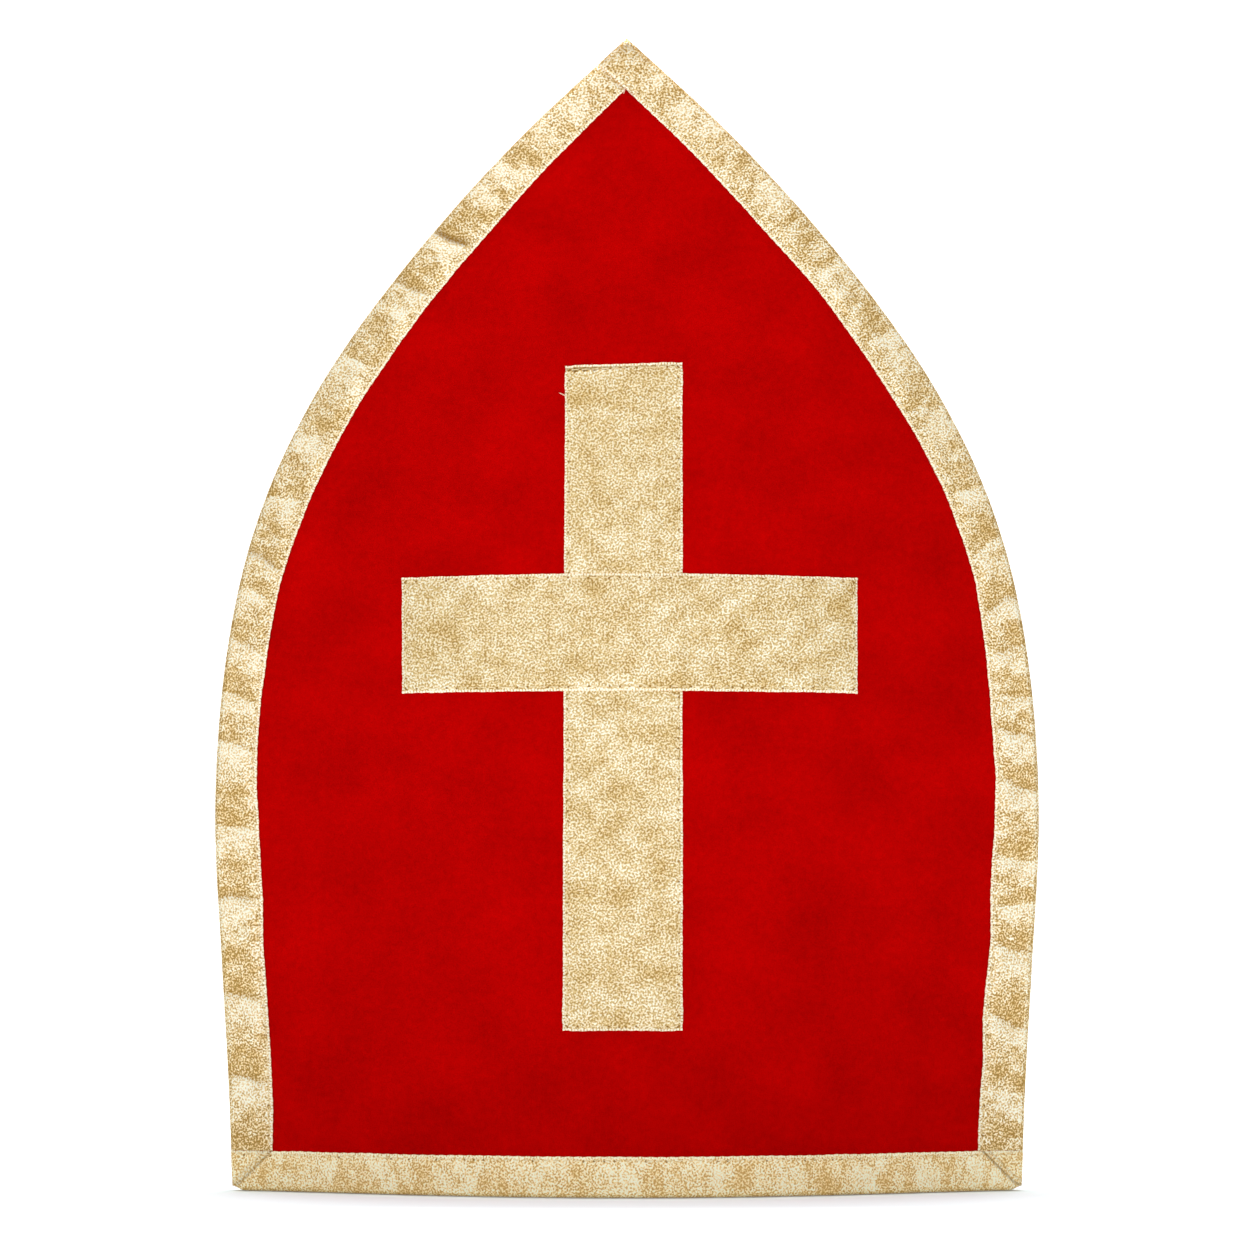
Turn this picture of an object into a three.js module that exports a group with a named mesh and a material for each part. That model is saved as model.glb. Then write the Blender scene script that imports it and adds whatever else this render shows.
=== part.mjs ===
// A bishop's mitre: two pointed panels of red velvet, joined at the sides and parted above them, each edged all
// round with gold tape, and a cross of gold cloth on the front one. It stands on its rim with its front towards
// -Y and its points up. The origin is on the surface it stands on, below the middle of the head opening.

import * as THREE from "three";
import { LoftGeometry } from "three/addons/geometries/LoftGeometry.js";

// Sizes in millimetres.
const mitreHeight = 400;
const greatestWidth = 291.4;
const seamHeight = 180;
const panelBulge = 50;
const panelWall = 2;
const panelTipWidth = 8;
const tapeWall = 1;
const tapeFoldChamfer = 0.8;
const sideTapeWidth = 16.8;
const hemTapeWidth = 14;
const crossWall = 0.9;
const crossUprightWidth = 40.2;
const crossUprightLength = 229.6;
const crossUprightFoot = 56.9;
const crossUprightOffset = -1.2;
const crossBarWidth = 40.4;
const crossBarLength = 157.6;
const crossBarMiddle = 193.6;
const crossBarOffset = 0.9;
const crossBarStep = 3;
const clearance = 0.3;

// How the bulge falls off from the middle of a panel to its sides: 1 is a plain parabola, more flattens the sides.
const bulgePower = 1.45;

// How finely the curved pieces are divided.
const panelColumns = 18;
const panelRows = 28;
const sideTapeRows = 30;
const upwardCrowding = 1.4;
const crossColumns = 4;
const crossUprightRows = 20;
const crossBarArmColumns = 5;

// The outline: its half-width at each height, as shares of half the greatest width and of the mitre's height.
const outline = [
  { height: 0, halfWidth: 0.953 },
  { height: 0.1, halfWidth: 0.965 },
  { height: 0.2, halfWidth: 0.982 },
  { height: 0.32, halfWidth: 1 },
  { height: 0.42, halfWidth: 0.99 },
  { height: 0.5, halfWidth: 0.961 },
  { height: 0.575, halfWidth: 0.911 },
  { height: 0.65, halfWidth: 0.828 },
  { height: 0.73, halfWidth: 0.698 },
  { height: 0.82, halfWidth: 0.501 },
  { height: 0.91, halfWidth: 0.268 },
  { height: 1, halfWidth: 0 },
];

// The front panel's main soft folds, each along a straight line. Places are shares of half the greatest width and
// of the mitre's height, and the reach and the rise are shares of the bulge, with a fold that sinks in negative.
const frontFolds = [
  { fromX: 0.4, fromHeight: 0.76, toX: 0.68, toHeight: 0.62, reach: 0.34, rise: 0.024 },
  { fromX: 0.58, fromHeight: 0.38, toX: 0.74, toHeight: 0.12, reach: 0.42, rise: -0.03 },
  { fromX: 0.33, fromHeight: 0.32, toX: 0.43, toHeight: 0.19, reach: 0.3, rise: 0.018 },
  { fromX: -0.64, fromHeight: 0.42, toX: -0.74, toHeight: 0.2, reach: 0.34, rise: 0.024 },
  { fromX: -0.44, fromHeight: 0.22, toX: -0.55, toHeight: 0.12, reach: 0.3, rise: 0.018 },
];

const velvet = new THREE.MeshStandardMaterial({ color: 0xb70000, roughness: 0.95, metalness: 0 });
const goldCloth = new THREE.MeshStandardMaterial({ color: 0xd8c48c, roughness: 0.45, metalness: 0.6 });

const halfGreatestWidth = greatestWidth / 2;

// The tape's faces, measured outwards from the middle of the panel that it is folded over.
const tapeInside = panelWall / 2 + clearance;
const tapeOutside = tapeInside + tapeWall;

// The middles of the two panels lie this far in front of and behind the side seams.
const seamOffset = tapeOutside + clearance / 2;

// The panel's cut edge lies this far inside the folded edge of the tape.
const panelInset = tapeWall + clearance;

// Reads one column of a table against its height column, on a smooth curve that runs on straight past both ends.
function readTable(table, column, height) {
  const slopeAt = (i) => {
    const before = table[Math.max(i - 1, 0)];
    const after = table[Math.min(i + 1, table.length - 1)];
    return (after[column] - before[column]) / (after.height - before.height);
  };
  const last = table.length - 1;
  if (height <= table[0].height) {
    return table[0][column] + slopeAt(0) * (height - table[0].height);
  }
  if (height >= table[last].height) {
    return table[last][column] + slopeAt(last) * (height - table[last].height);
  }
  const i = table.findIndex((row) => row.height > height) - 1;
  const span = table[i + 1].height - table[i].height;
  const t = (height - table[i].height) / span;
  const bend = (start, end, startSlope, endSlope) =>
    start * (2 * t ** 3 - 3 * t ** 2 + 1) +
    startSlope * span * (t ** 3 - 2 * t ** 2 + t) +
    end * (3 * t ** 2 - 2 * t ** 3) +
    endSlope * span * (t ** 3 - t ** 2);
  return bend(table[i][column], table[i + 1][column], slopeAt(i), slopeAt(i + 1));
}

function halfWidthAt(z) {
  return halfGreatestWidth * readTable(outline, "halfWidth", z / mitreHeight);
}

// How far one fold lifts the panel at (x, z): a rounded ridge along its line, down to nothing at its reach.
function foldRise(fold, x, z) {
  const from = new THREE.Vector2(fold.fromX * halfGreatestWidth, fold.fromHeight * mitreHeight);
  const to = new THREE.Vector2(fold.toX * halfGreatestWidth, fold.toHeight * mitreHeight);
  const along = to.clone().sub(from);
  const point = new THREE.Vector2(x, z);
  const share = THREE.MathUtils.clamp(point.clone().sub(from).dot(along) / along.lengthSq(), 0, 1);
  const distance = point.distanceTo(from.addScaledVector(along, share));
  const fall = 1 - Math.min(distance / (fold.reach * panelBulge), 1) ** 2;
  return fold.rise * panelBulge * fall ** 2;
}

// How far the middle of a panel's wall stands out from the plane of the side seams at (x, z). Above the seams
// the panel keeps the curve that it has at their upper ends, so its free edges part from the other panel's.
function standOut(x, z, folds) {
  const seamHalfWidth = halfWidthAt(THREE.MathUtils.clamp(z, 0, seamHeight));
  const share = Math.min(Math.abs(x) / seamHalfWidth, 1);
  const lift = folds.reduce((sum, fold) => sum + foldRise(fold, x, z), 0);
  return seamOffset + panelBulge * (1 - share ** 2) ** bulgePower + lift;
}

// The slope of a function of one number.
function slopeOf(f, at) {
  const step = 0.01;
  return (f(at + step) - f(at - step)) / (2 * step);
}

// A point of a panel that faces -Y: at (x, z) on the middle of its wall, moved out of its face by the offset.
function panelPoint(x, z, offset, folds) {
  const slopeX = slopeOf((value) => standOut(value, z, folds), x);
  const slopeZ = slopeOf((value) => standOut(x, value, folds), z);
  const normal = new THREE.Vector3(-slopeX, -1, -slopeZ).normalize();
  return new THREE.Vector3(x, -standOut(x, z, folds), z).addScaledVector(normal, offset);
}

// Whole numbers from 0 to count, as shares of it.
function shares(count) {
  return Array.from({ length: count + 1 }, (_, i) => i / count);
}

// The same, drawn closer together towards 1, where the outline slopes in.
function crowdedShares(count) {
  return shares(count).map((share) => 1 - (1 - share) ** upwardCrowding);
}

// The value at which a rising function reaches 0.
function rootOf(f, low, high) {
  for (let i = 0; i < 40; i++) {
    const middle = (low + high) / 2;
    if (f(middle) < 0) {
      low = middle;
    } else {
      high = middle;
    }
  }
  return (low + high) / 2;
}

function lofted(sections) {
  return new LoftGeometry(sections, { capStart: true, capEnd: true });
}

// The section at height z of a wall that follows the panel, between two offsets from the middle of the panel's.
function wallRing(xs, z, inner, outer, folds) {
  const outside = xs.map((x) => panelPoint(x, z, outer, folds));
  const inside = xs.map((x) => panelPoint(x, z, inner, folds));
  return [...outside, ...inside.reverse()];
}

// Places across a panel between two sides, with two more under each side tape, where the wall bends most.
function columnPlaces(halfWidth, inset) {
  const taped = Math.min(sideTapeWidth - inset, halfWidth / 2);
  const middle = halfWidth - taped;
  const between = shares(panelColumns).map((column) => middle * (2 * column - 1));
  return [-halfWidth, -halfWidth + taped / 2, ...between, halfWidth - taped / 2, halfWidth];
}

// The panel's half-width at a height: the outline less the inset, measured square to the edge.
function panelHalfWidthAt(z) {
  return halfWidthAt(z) - panelInset * Math.hypot(1, slopeOf(halfWidthAt, z));
}

function panelGeometry(folds) {
  const foot = panelInset;
  const tip = rootOf((z) => panelTipWidth / 2 - panelHalfWidthAt(z), mitreHeight / 2, mitreHeight);
  const sections = crowdedShares(panelRows).map((row) => {
    const z = THREE.MathUtils.lerp(foot, tip, row);
    const xs = columnPlaces(panelHalfWidthAt(z), panelInset);
    return wallRing(xs, z, -panelWall / 2, panelWall / 2, folds);
  });
  return lofted(sections);
}

// The section of a tape folded over a panel's edge: how far each point is from the fold and from the panel's middle.
function tapeSection(width) {
  const outer = tapeOutside;
  const inner = tapeInside;
  const chamfer = tapeFoldChamfer;
  const half = [
    { across: tapeWall, out: inner },
    { across: width / 2, out: inner },
    { across: width, out: inner },
    { across: width, out: outer },
    { across: width / 2, out: outer },
    { across: chamfer, out: outer },
    { across: 0, out: outer - chamfer },
  ];
  const otherHalf = half.map(({ across, out }) => ({ across, out: -out })).reverse();
  return [...half, ...otherHalf];
}

// The place on the right-hand side tape that lies so far across it from its fold, opposite the outline's point
// at height z. Past the mitre's point the edge runs on straight.
function sideTapePlace(z, across) {
  const slope = slopeOf(halfWidthAt, z);
  const length = Math.hypot(1, slope);
  const inwardX = -1 / length;
  const inwardZ = slope / length;
  const x = halfWidthAt(z);
  const tilt = slopeOf((step) => standOut(x + inwardX * step, z + inwardZ * step, []), sideTapeWidth / 2);
  const reach = across / Math.hypot(1, tilt);
  return { x: x + inwardX * reach, z: z + inwardZ * reach };
}

// How far a place lies inside the straight end of the right-hand outline.
function insideRightEdge({ x, z }) {
  const slope = slopeOf(halfWidthAt, mitreHeight);
  return (slope * (z - mitreHeight) - x) / Math.hypot(1, slope);
}

// Side tape from the hem to the point. The right-hand one runs over the point to the far edge, and the left-hand
// one ends against it.
function sideTapeGeometry(side, folds) {
  const low = hemTapeWidth + clearance;
  const past = mitreHeight + sideTapeWidth;
  const startOf = (across) => rootOf((z) => sideTapePlace(z, across).z - low, -low, 3 * low);
  const overPoint = (place) => -place.x - halfWidthAt(place.z);
  const againstRight = (place) => sideTapeWidth + clearance - insideRightEdge({ x: -place.x, z: place.z });
  const stop = side > 0 ? overPoint : againstRight;
  const endOf = (across) => rootOf((z) => stop(sideTapePlace(z, across)), mitreHeight / 2, past);
  const section = tapeSection(sideTapeWidth);
  const sections = crowdedShares(sideTapeRows).map((row) => {
    const ring = section.map(({ across, out }) => {
      const z = THREE.MathUtils.lerp(startOf(across), endOf(across), row);
      const place = sideTapePlace(z, across);
      return panelPoint(side * place.x, place.z, out, folds);
    });
    return side > 0 ? ring : ring.reverse();
  });
  return lofted(sections);
}

// Hem tape from one side of the outline to the other. Each line along it is level, so its underside is flat.
function hemTapeGeometry(folds) {
  const rings = tapeSection(hemTapeWidth).map(({ across, out }) =>
    columnPlaces(halfWidthAt(across), 0).map((x) => panelPoint(x, across, out, folds).setZ(across)),
  );
  const sections = rings[0].map((_, column) => rings.map((ring) => ring[column]));
  return lofted(sections);
}

function crossUprightGeometry(folds) {
  const face = panelWall / 2 + clearance;
  const sections = shares(crossUprightRows).map((row) => {
    const z = crossUprightFoot + crossUprightLength * row;
    const xs = shares(crossColumns).map((column) => crossUprightOffset + crossUprightWidth * (column - 0.5));
    return wallRing(xs, z, face, face + crossWall, folds);
  });
  return lofted(sections);
}

// The bar lies on the panel at its arms and steps up over the upright between them.
function crossBarGeometry(folds) {
  const face = panelWall / 2 + clearance;
  const raised = face + crossWall + clearance;
  const left = crossBarOffset - crossBarLength / 2;
  const right = crossBarOffset + crossBarLength / 2;
  const stepInside = crossUprightWidth / 2 + clearance;
  const stepOutside = stepInside + crossBarStep;
  const between = (from, to, out) =>
    shares(crossBarArmColumns).map((share) => ({ x: THREE.MathUtils.lerp(from, to, share), out }));
  const columns = [
    ...between(left, crossUprightOffset - stepOutside, face),
    ...between(crossUprightOffset - stepInside, crossUprightOffset + stepInside, raised),
    ...between(crossUprightOffset + stepOutside, right, face),
  ];
  const zs = shares(crossColumns).map((share) => crossBarMiddle + crossBarWidth * (share - 0.5));
  const sections = columns.map(({ x, out }) => {
    const outside = zs.map((z) => panelPoint(x, z, out + crossWall, folds));
    const inside = zs.map((z) => panelPoint(x, z, out, folds));
    return [...inside, ...outside.reverse()];
  });
  return lofted(sections);
}

function piece(name, geometry, material) {
  const mesh = new THREE.Mesh(geometry, material);
  mesh.name = name;
  return mesh;
}

// One panel with the tape round it. Left and right are as seen by someone who faces it.
function boundPanel(name, folds) {
  const group = new THREE.Group();
  group.add(
    piece(`${name}_panel`, panelGeometry(folds), velvet),
    piece(`${name}_left_binding`, sideTapeGeometry(-1, folds), goldCloth),
    piece(`${name}_right_binding`, sideTapeGeometry(1, folds), goldCloth),
    piece(`${name}_hem_binding`, hemTapeGeometry(folds), goldCloth),
  );
  return group;
}

const front = boundPanel("front", frontFolds);
front.add(
  piece("cross_upright", crossUprightGeometry(frontFolds), goldCloth),
  piece("cross_bar", crossBarGeometry(frontFolds), goldCloth),
);

const back = boundPanel("back", []);
back.rotation.z = Math.PI;

const mitre = new THREE.Group();
mitre.add(front, back);

export default mitre;
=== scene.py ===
"""Dresses the frame of a bishop's mitre: two panels of red velvet, the gold tape folded round their edges, the cross
of gold cloth on the front one, and the sewing that holds them. Every length is in metres."""

import logging
import math
from dataclasses import dataclass, field
from enum import Enum
from typing import Callable, Iterable

import bpy
import numpy as np
from mathutils import Euler, Matrix, Vector


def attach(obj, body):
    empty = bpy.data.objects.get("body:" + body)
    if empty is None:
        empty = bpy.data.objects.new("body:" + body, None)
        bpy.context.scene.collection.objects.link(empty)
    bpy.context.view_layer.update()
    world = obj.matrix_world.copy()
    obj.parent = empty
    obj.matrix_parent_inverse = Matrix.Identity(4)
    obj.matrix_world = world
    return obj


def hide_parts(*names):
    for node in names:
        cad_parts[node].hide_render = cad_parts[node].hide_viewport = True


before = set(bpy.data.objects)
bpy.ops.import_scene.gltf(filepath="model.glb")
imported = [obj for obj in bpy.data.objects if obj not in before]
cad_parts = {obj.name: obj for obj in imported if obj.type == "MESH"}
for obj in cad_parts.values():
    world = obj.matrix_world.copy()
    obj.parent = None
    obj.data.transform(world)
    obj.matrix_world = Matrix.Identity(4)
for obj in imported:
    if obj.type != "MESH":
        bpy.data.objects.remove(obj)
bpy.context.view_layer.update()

LOG = logging.getLogger("mitre")
MM = 0.001
SLOPE_STEP = 0.01 * MM  # how far to each side of a place a slope is read

Array = np.ndarray
Colour = tuple[float, float, float]
NodeTree = bpy.types.NodeTree
Socket = bpy.types.NodeSocket


class Facing(Enum):
    """Which way a panel faces. The value turns its x and y."""

    FRONT = 1
    BACK = -1


class Side(Enum):
    """A side of a panel, as seen by someone who faces it."""

    LEFT = -1
    RIGHT = 1


class Slot(Enum):
    """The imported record's material slots."""

    VELVET = "red_velvet"
    TAPE = "gold_tape"
    CLOTH = "gold_cloth"


# ---- The form that every piece follows


def smooth_step(value: Array, low: float, high: float) -> Array:
    """Rises smoothly from 0 at low to 1 at high.

    Args:
        value: Where to read it.
        low: The last value that gives 0.
        high: The first value that gives 1.

    Returns:
        A share from 0 to 1 for each value.
    """
    share = np.clip((value - low) / (high - low), 0, 1)
    return share * share * (3 - 2 * share)


def root_of(rising: Callable[[Array], Array], low: Array, high: Array) -> Array:
    """Finds where a rising function reaches 0.

    Args:
        rising: The function.
        low: Places where it is below 0.
        high: Places where it is above 0.

    Returns:
        The places where it crosses 0.
    """
    for _ in range(40):
        middle = (low + high) / 2
        below = rising(middle) < 0
        low = np.where(below, middle, low)
        high = np.where(below, high, middle)
    return (low + high) / 2


@dataclass(frozen=True)
class Fold:
    """A soft fold of a panel along a straight line. Places are shares of its half-width and height, and the reach
    and the rise are shares of its bulge. A fold that sinks in has a negative rise."""

    from_x: float
    from_height: float
    to_x: float
    to_height: float
    reach: float
    rise: float


# The first five folds are the solids' own, and the rest are finer ones that only the cloth has.
FRONT_FOLDS = (
    Fold(0.4, 0.76, 0.68, 0.62, 0.34, 0.024),
    Fold(0.58, 0.38, 0.74, 0.12, 0.42, -0.03),
    Fold(0.33, 0.32, 0.43, 0.19, 0.3, 0.018),
    Fold(-0.64, 0.42, -0.74, 0.2, 0.34, 0.024),
    Fold(-0.44, 0.22, -0.55, 0.12, 0.3, 0.018),
    Fold(0.283, 0.738, 0.354, 0.635, 0.2, 0.01),
    Fold(0.545, 0.254, 0.704, 0.107, 0.2, 0.012),
    Fold(0.151, 0.426, 0.21, 0.366, 0.18, 0.01),
    Fold(0.45, 0.427, 0.486, 0.393, 0.16, 0.01),
    Fold(-0.613, 0.437, -0.773, 0.342, 0.22, 0.012),
    Fold(-0.538, 0.211, -0.647, 0.142, 0.2, -0.012),
    Fold(-0.368, 0.134, -0.5, 0.047, 0.2, 0.012),
    Fold(-0.721, 0.15, -0.709, 0.107, 0.16, -0.012),
    Fold(-0.763, 0.567, -0.589, 0.516, 0.2, 0.01),
    Fold(-0.276, 0.782, -0.157, 0.746, 0.22, 0.01),
    Fold(-0.468, 0.628, -0.419, 0.601, 0.2, -0.01),
)


@dataclass(frozen=True)
class MitreForm:
    """The form of one panel: its outline, and how far it stands out from the plane of the side seams."""

    facing: Facing
    folds: tuple[Fold, ...] = ()
    height: float = 0.4
    half_width: float = 0.1457
    seam_height: float = 0.18
    bulge: float = 0.05
    bulge_power: float = 1.45
    seam_offset: float = 0.00245
    outline: tuple[tuple[float, float], ...] = (
        (0, 0.953), (0.1, 0.965), (0.2, 0.982), (0.32, 1), (0.42, 0.99), (0.5, 0.961),
        (0.575, 0.911), (0.65, 0.828), (0.73, 0.698), (0.82, 0.501), (0.91, 0.268), (1, 0),
    )

    def half_width_at(self, z: Array) -> Array:
        """Reads the outline's half-width at a height, on a smooth curve that runs on straight past both ends."""
        heights, shares = np.array(self.outline).T
        rows = np.arange(len(heights))
        after, before = np.minimum(rows + 1, rows[-1]), np.maximum(rows - 1, 0)
        slopes = (shares[after] - shares[before]) / (heights[after] - heights[before])
        share = np.asarray(z, float) / self.height
        i = np.clip(np.searchsorted(heights, share, side="right") - 1, 0, rows[-1] - 1)
        span = heights[i + 1] - heights[i]
        t = (share - heights[i]) / span
        inside = (
            shares[i] * (2 * t**3 - 3 * t**2 + 1)
            + slopes[i] * span * (t**3 - 2 * t**2 + t)
            + shares[i + 1] * (3 * t**2 - 2 * t**3)
            + slopes[i + 1] * span * (t**3 - t**2)
        )
        under = shares[0] + slopes[0] * share
        over = shares[-1] + slopes[-1] * (share - 1)
        return self.half_width * np.where(share <= 0, under, np.where(share >= 1, over, inside))

    def outline_slope(self, z: Array) -> Array:
        """How fast the half-width grows with height."""
        return (self.half_width_at(z + SLOPE_STEP) - self.half_width_at(z - SLOPE_STEP)) / (2 * SLOPE_STEP)

    def fold_lift(self, fold: Fold, x: Array, z: Array) -> Array:
        """How far one fold lifts the panel: a rounded ridge along its line, down to nothing at its reach."""
        start = np.array([fold.from_x * self.half_width, fold.from_height * self.height])
        along = np.array([fold.to_x * self.half_width, fold.to_height * self.height]) - start
        share = np.clip(((x - start[0]) * along[0] + (z - start[1]) * along[1]) / (along @ along), 0, 1)
        distance = np.hypot(x - start[0] - share * along[0], z - start[1] - share * along[1])
        fall = 1 - np.minimum(distance / (fold.reach * self.bulge), 1) ** 2
        return fold.rise * self.bulge * fall**2

    def stand_out(self, x: Array, z: Array) -> Array:
        """How far the middle of the panel's wall stands out from the plane of the side seams."""
        seam_half_width = self.half_width_at(np.clip(z, 0, self.seam_height))
        share = np.minimum(np.abs(x) / seam_half_width, 1)
        lift = sum(self.fold_lift(fold, x, z) for fold in self.folds)
        return self.seam_offset + self.bulge * (1 - share**2) ** self.bulge_power + lift

    def point(self, x: Array, z: Array, out: Array, level: Array | None = None) -> Array:
        """Gives a point of the panel, moved out of its face.

        Args:
            x: Where it is across the panel.
            z: Its height on the middle of the wall.
            out: How far it is moved out, square to the wall.
            level: Its height after that, where it is held at one.

        Returns:
            The points, one row each.
        """
        x, z, out = np.broadcast_arrays(np.asarray(x, float), z, out)
        step = SLOPE_STEP
        slope_x = (self.stand_out(x + step, z) - self.stand_out(x - step, z)) / (2 * step)
        slope_z = (self.stand_out(x, z + step) - self.stand_out(x, z - step)) / (2 * step)
        normal = np.stack([-slope_x, -np.ones_like(x), -slope_z], -1)
        normal /= np.linalg.norm(normal, axis=-1, keepdims=True)
        place = np.stack([x, -self.stand_out(x, z), z], -1) + normal * out[..., None]
        if level is not None:
            place[..., 2] = level
        return place * np.array([self.facing.value, self.facing.value, 1])


# ---- Mesh work


@dataclass
class StitchLine:
    """Where the stitches of a cloth go: shares across and along it, and which of them run across it."""

    share: Array
    row: Array
    crosswise: Array


@dataclass
class Lay:
    """Where a piece of cloth lies: its points, its own flat measure for the weave, how far each point is from the
    nearest sewn edge and along it, and named shares from 0 to 1 that its finish reads."""

    points: Array
    cloth: Array
    seam: Array
    marks: dict[str, Array] = field(default_factory=dict)


def deselect_all() -> None:
    """Leaves object mode with nothing selected."""
    if bpy.context.object and bpy.context.object.mode != "OBJECT":
        bpy.ops.object.mode_set(mode="OBJECT")
    bpy.ops.object.select_all(action="DESELECT")


def triangles(obj: bpy.types.Object) -> int:
    """Counts the triangles of a mesh."""
    return sum(len(face.vertices) - 2 for face in obj.data.polygons)


def crowded(share: Array, amount: float) -> Array:
    """Draws the lines of a grid together towards both of its edges, by an amount from 0 to 1."""
    return share - amount * np.sin(2 * math.pi * share) / (2 * math.pi)


def woven_sheet(
    name: str,
    cells: tuple[int, int],
    lay: Callable[[Array, Array], Lay],
    wall: float,
    crowd: tuple[float, float] = (0, 0),
) -> bpy.types.Object:
    """Makes a sheet of cloth from a flat grid that is laid over its place and given its thickness.

    Args:
        name: The piece's name.
        cells: How many cells it has across and along.
        lay: Gives the sheet's lay at shares of its width and length.
        wall: Its thickness, to the inside of the face that lay gives.
        crowd: How much its cells are drawn together towards its edges, across and along.

    Returns:
        The finished sheet.
    """
    deselect_all()
    bpy.ops.mesh.primitive_grid_add(x_subdivisions=cells[0], y_subdivisions=cells[1], size=2, calc_uvs=False)
    sheet = bpy.context.object
    sheet.name = sheet.data.name = name
    mesh = sheet.data
    flat = np.empty(len(mesh.vertices) * 3, np.float32)
    mesh.vertices.foreach_get("co", flat)
    shares = (flat.reshape(-1, 3)[:, :2].astype(float) + 1) / 2
    laid = lay(crowded(shares[:, 0], crowd[0]), crowded(shares[:, 1], crowd[1]))
    mesh.vertices.foreach_set("co", laid.points.astype(np.float32).ravel())
    corner = np.empty(len(mesh.loops), np.int32)
    mesh.loops.foreach_get("vertex_index", corner)
    for map_name, values in (("cloth", laid.cloth), ("seam", laid.seam)):
        uv_map = mesh.uv_layers.new(name=map_name)
        uv_map.data.foreach_set("uv", values[corner].astype(np.float32).ravel())
    for mark, values in laid.marks.items():
        attribute = mesh.attributes.new(mark, "FLOAT", "POINT")
        attribute.data.foreach_set("value", values.astype(np.float32))
    mesh.update()
    solid = sheet.modifiers.new("wall", "SOLIDIFY")
    solid.thickness = wall
    solid.offset = -1
    solid.use_even_offset = False
    solid.use_quality_normals = True
    bpy.ops.object.modifier_apply(modifier=solid.name)
    bpy.ops.object.shade_smooth_by_angle(angle=math.radians(50))
    return sheet


def declare(
    piece: bpy.types.Object, material: bpy.types.Material, nodes: Iterable[str] = ()
) -> None:
    """Gives a piece its material, lets it ride on the mitre's one body, and hides the solids that it replaces.

    Args:
        piece: The piece.
        material: Its finish.
        nodes: The solids that it replaces.
    """
    piece.data.materials.clear()
    piece.data.materials.append(material)
    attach(piece, "root")
    if nodes:
        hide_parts(*nodes)
    LOG.info("%s: %d triangles", piece.name, triangles(piece))


# ---- Finishes


class NodeBoard:
    """A small helper that adds nodes to a tree and links them."""

    def __init__(self, tree: NodeTree) -> None:
        """Clears the tree and keeps it."""
        self.tree = tree
        tree.nodes.clear()

    def add(self, kind: str, inputs: dict | None = None, **settings: str | bool | NodeTree) -> bpy.types.Node:
        """Adds a node.

        Args:
            kind: The node's type, without the words in front.
            inputs: Its sockets by name or number, each with a value or another socket.
            settings: Its own settings.

        Returns:
            The node.
        """
        prefix = "" if kind.startswith("NodeGroup") else "ShaderNode"
        node = self.tree.nodes.new(prefix + kind)
        for key, value in settings.items():
            setattr(node, key, value)
        for key, value in (inputs or {}).items():
            if isinstance(value, bpy.types.NodeSocket):
                self.tree.links.new(value, node.inputs[key])
            else:
                node.inputs[key].default_value = value
        return node

    def math(self, operation: str, *values: float | Socket, clamp: bool = False) -> Socket:
        """Adds a Math node and gives its output."""
        return self.add("Math", dict(enumerate(values)), operation=operation, use_clamp=clamp).outputs[0]

    def rest(self, value: Socket) -> Socket:
        """Gives what is left of 1."""
        return self.math("SUBTRACT", 1.0, value)

    def between(self, value: Socket, low: float, high: float) -> Socket:
        """Maps a socket smoothly from low and high to 0 and 1, held at both ends."""
        inputs = {"Value": value, "From Min": low, "From Max": high}
        return self.add("MapRange", inputs, interpolation_type="SMOOTHSTEP").outputs["Result"]

    def noise(self, place: Socket, scale: float | Socket, detail: float, roughness: float = 0.5) -> Socket:
        """Adds a noise at a place and gives its value."""
        inputs = {"Vector": place, "Scale": scale, "Detail": detail, "Roughness": roughness}
        return self.add("TexNoise", inputs).outputs["Fac"]

    def ramp(self, value: Socket, stops: Iterable[tuple[float, Colour]]) -> Socket:
        """Adds a colour ramp and gives its colour.

        Args:
            value: The socket that it reads.
            stops: Its places, each with a colour.

        Returns:
            The colour's socket.
        """
        node = self.add("ValToRGB", {"Fac": value})
        elements = node.color_ramp.elements
        stops = list(stops)
        while len(elements) < len(stops):
            elements.new(0.5)
        for element, (place, colour) in zip(elements, stops):
            element.position = place
            element.color = (*colour, 1)
        return node.outputs["Color"]

    def mix(self, share: Socket, first: Socket, second: Colour) -> Socket:
        """Mixes a colour into another one and gives the result."""
        return self.add("Mix", {0: share, 6: first, 7: (*second, 1)}, data_type="RGBA").outputs[2]

    def bump(self, height: Socket, distance: float, strength: float) -> Socket:
        """Adds a Bump node and gives its normal."""
        return self.add("Bump", {"Strength": strength, "Distance": distance, "Height": height}).outputs[0]

    def uv(self, name: str) -> Socket:
        """Gives a UV map of the piece as a vector."""
        return self.add("UVMap", uv_map=name).outputs["UV"]

    def mark(self, name: str) -> Socket:
        """Gives one of the piece's named shares."""
        return self.add("Attribute", attribute_name=name).outputs["Fac"]

    def surface(self, inputs: dict) -> None:
        """Adds the surface's shader with its inputs, and the output that it feeds."""
        shader = self.add("BsdfPrincipled", inputs)
        self.add("OutputMaterial", {"Surface": shader.outputs[0]})


def new_material(name: str) -> tuple[bpy.types.Material, NodeBoard]:
    """Starts a material, with a board to add its nodes on."""
    material = bpy.data.materials.new(name)
    material.use_nodes = True
    return material, NodeBoard(material.node_tree)


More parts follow.
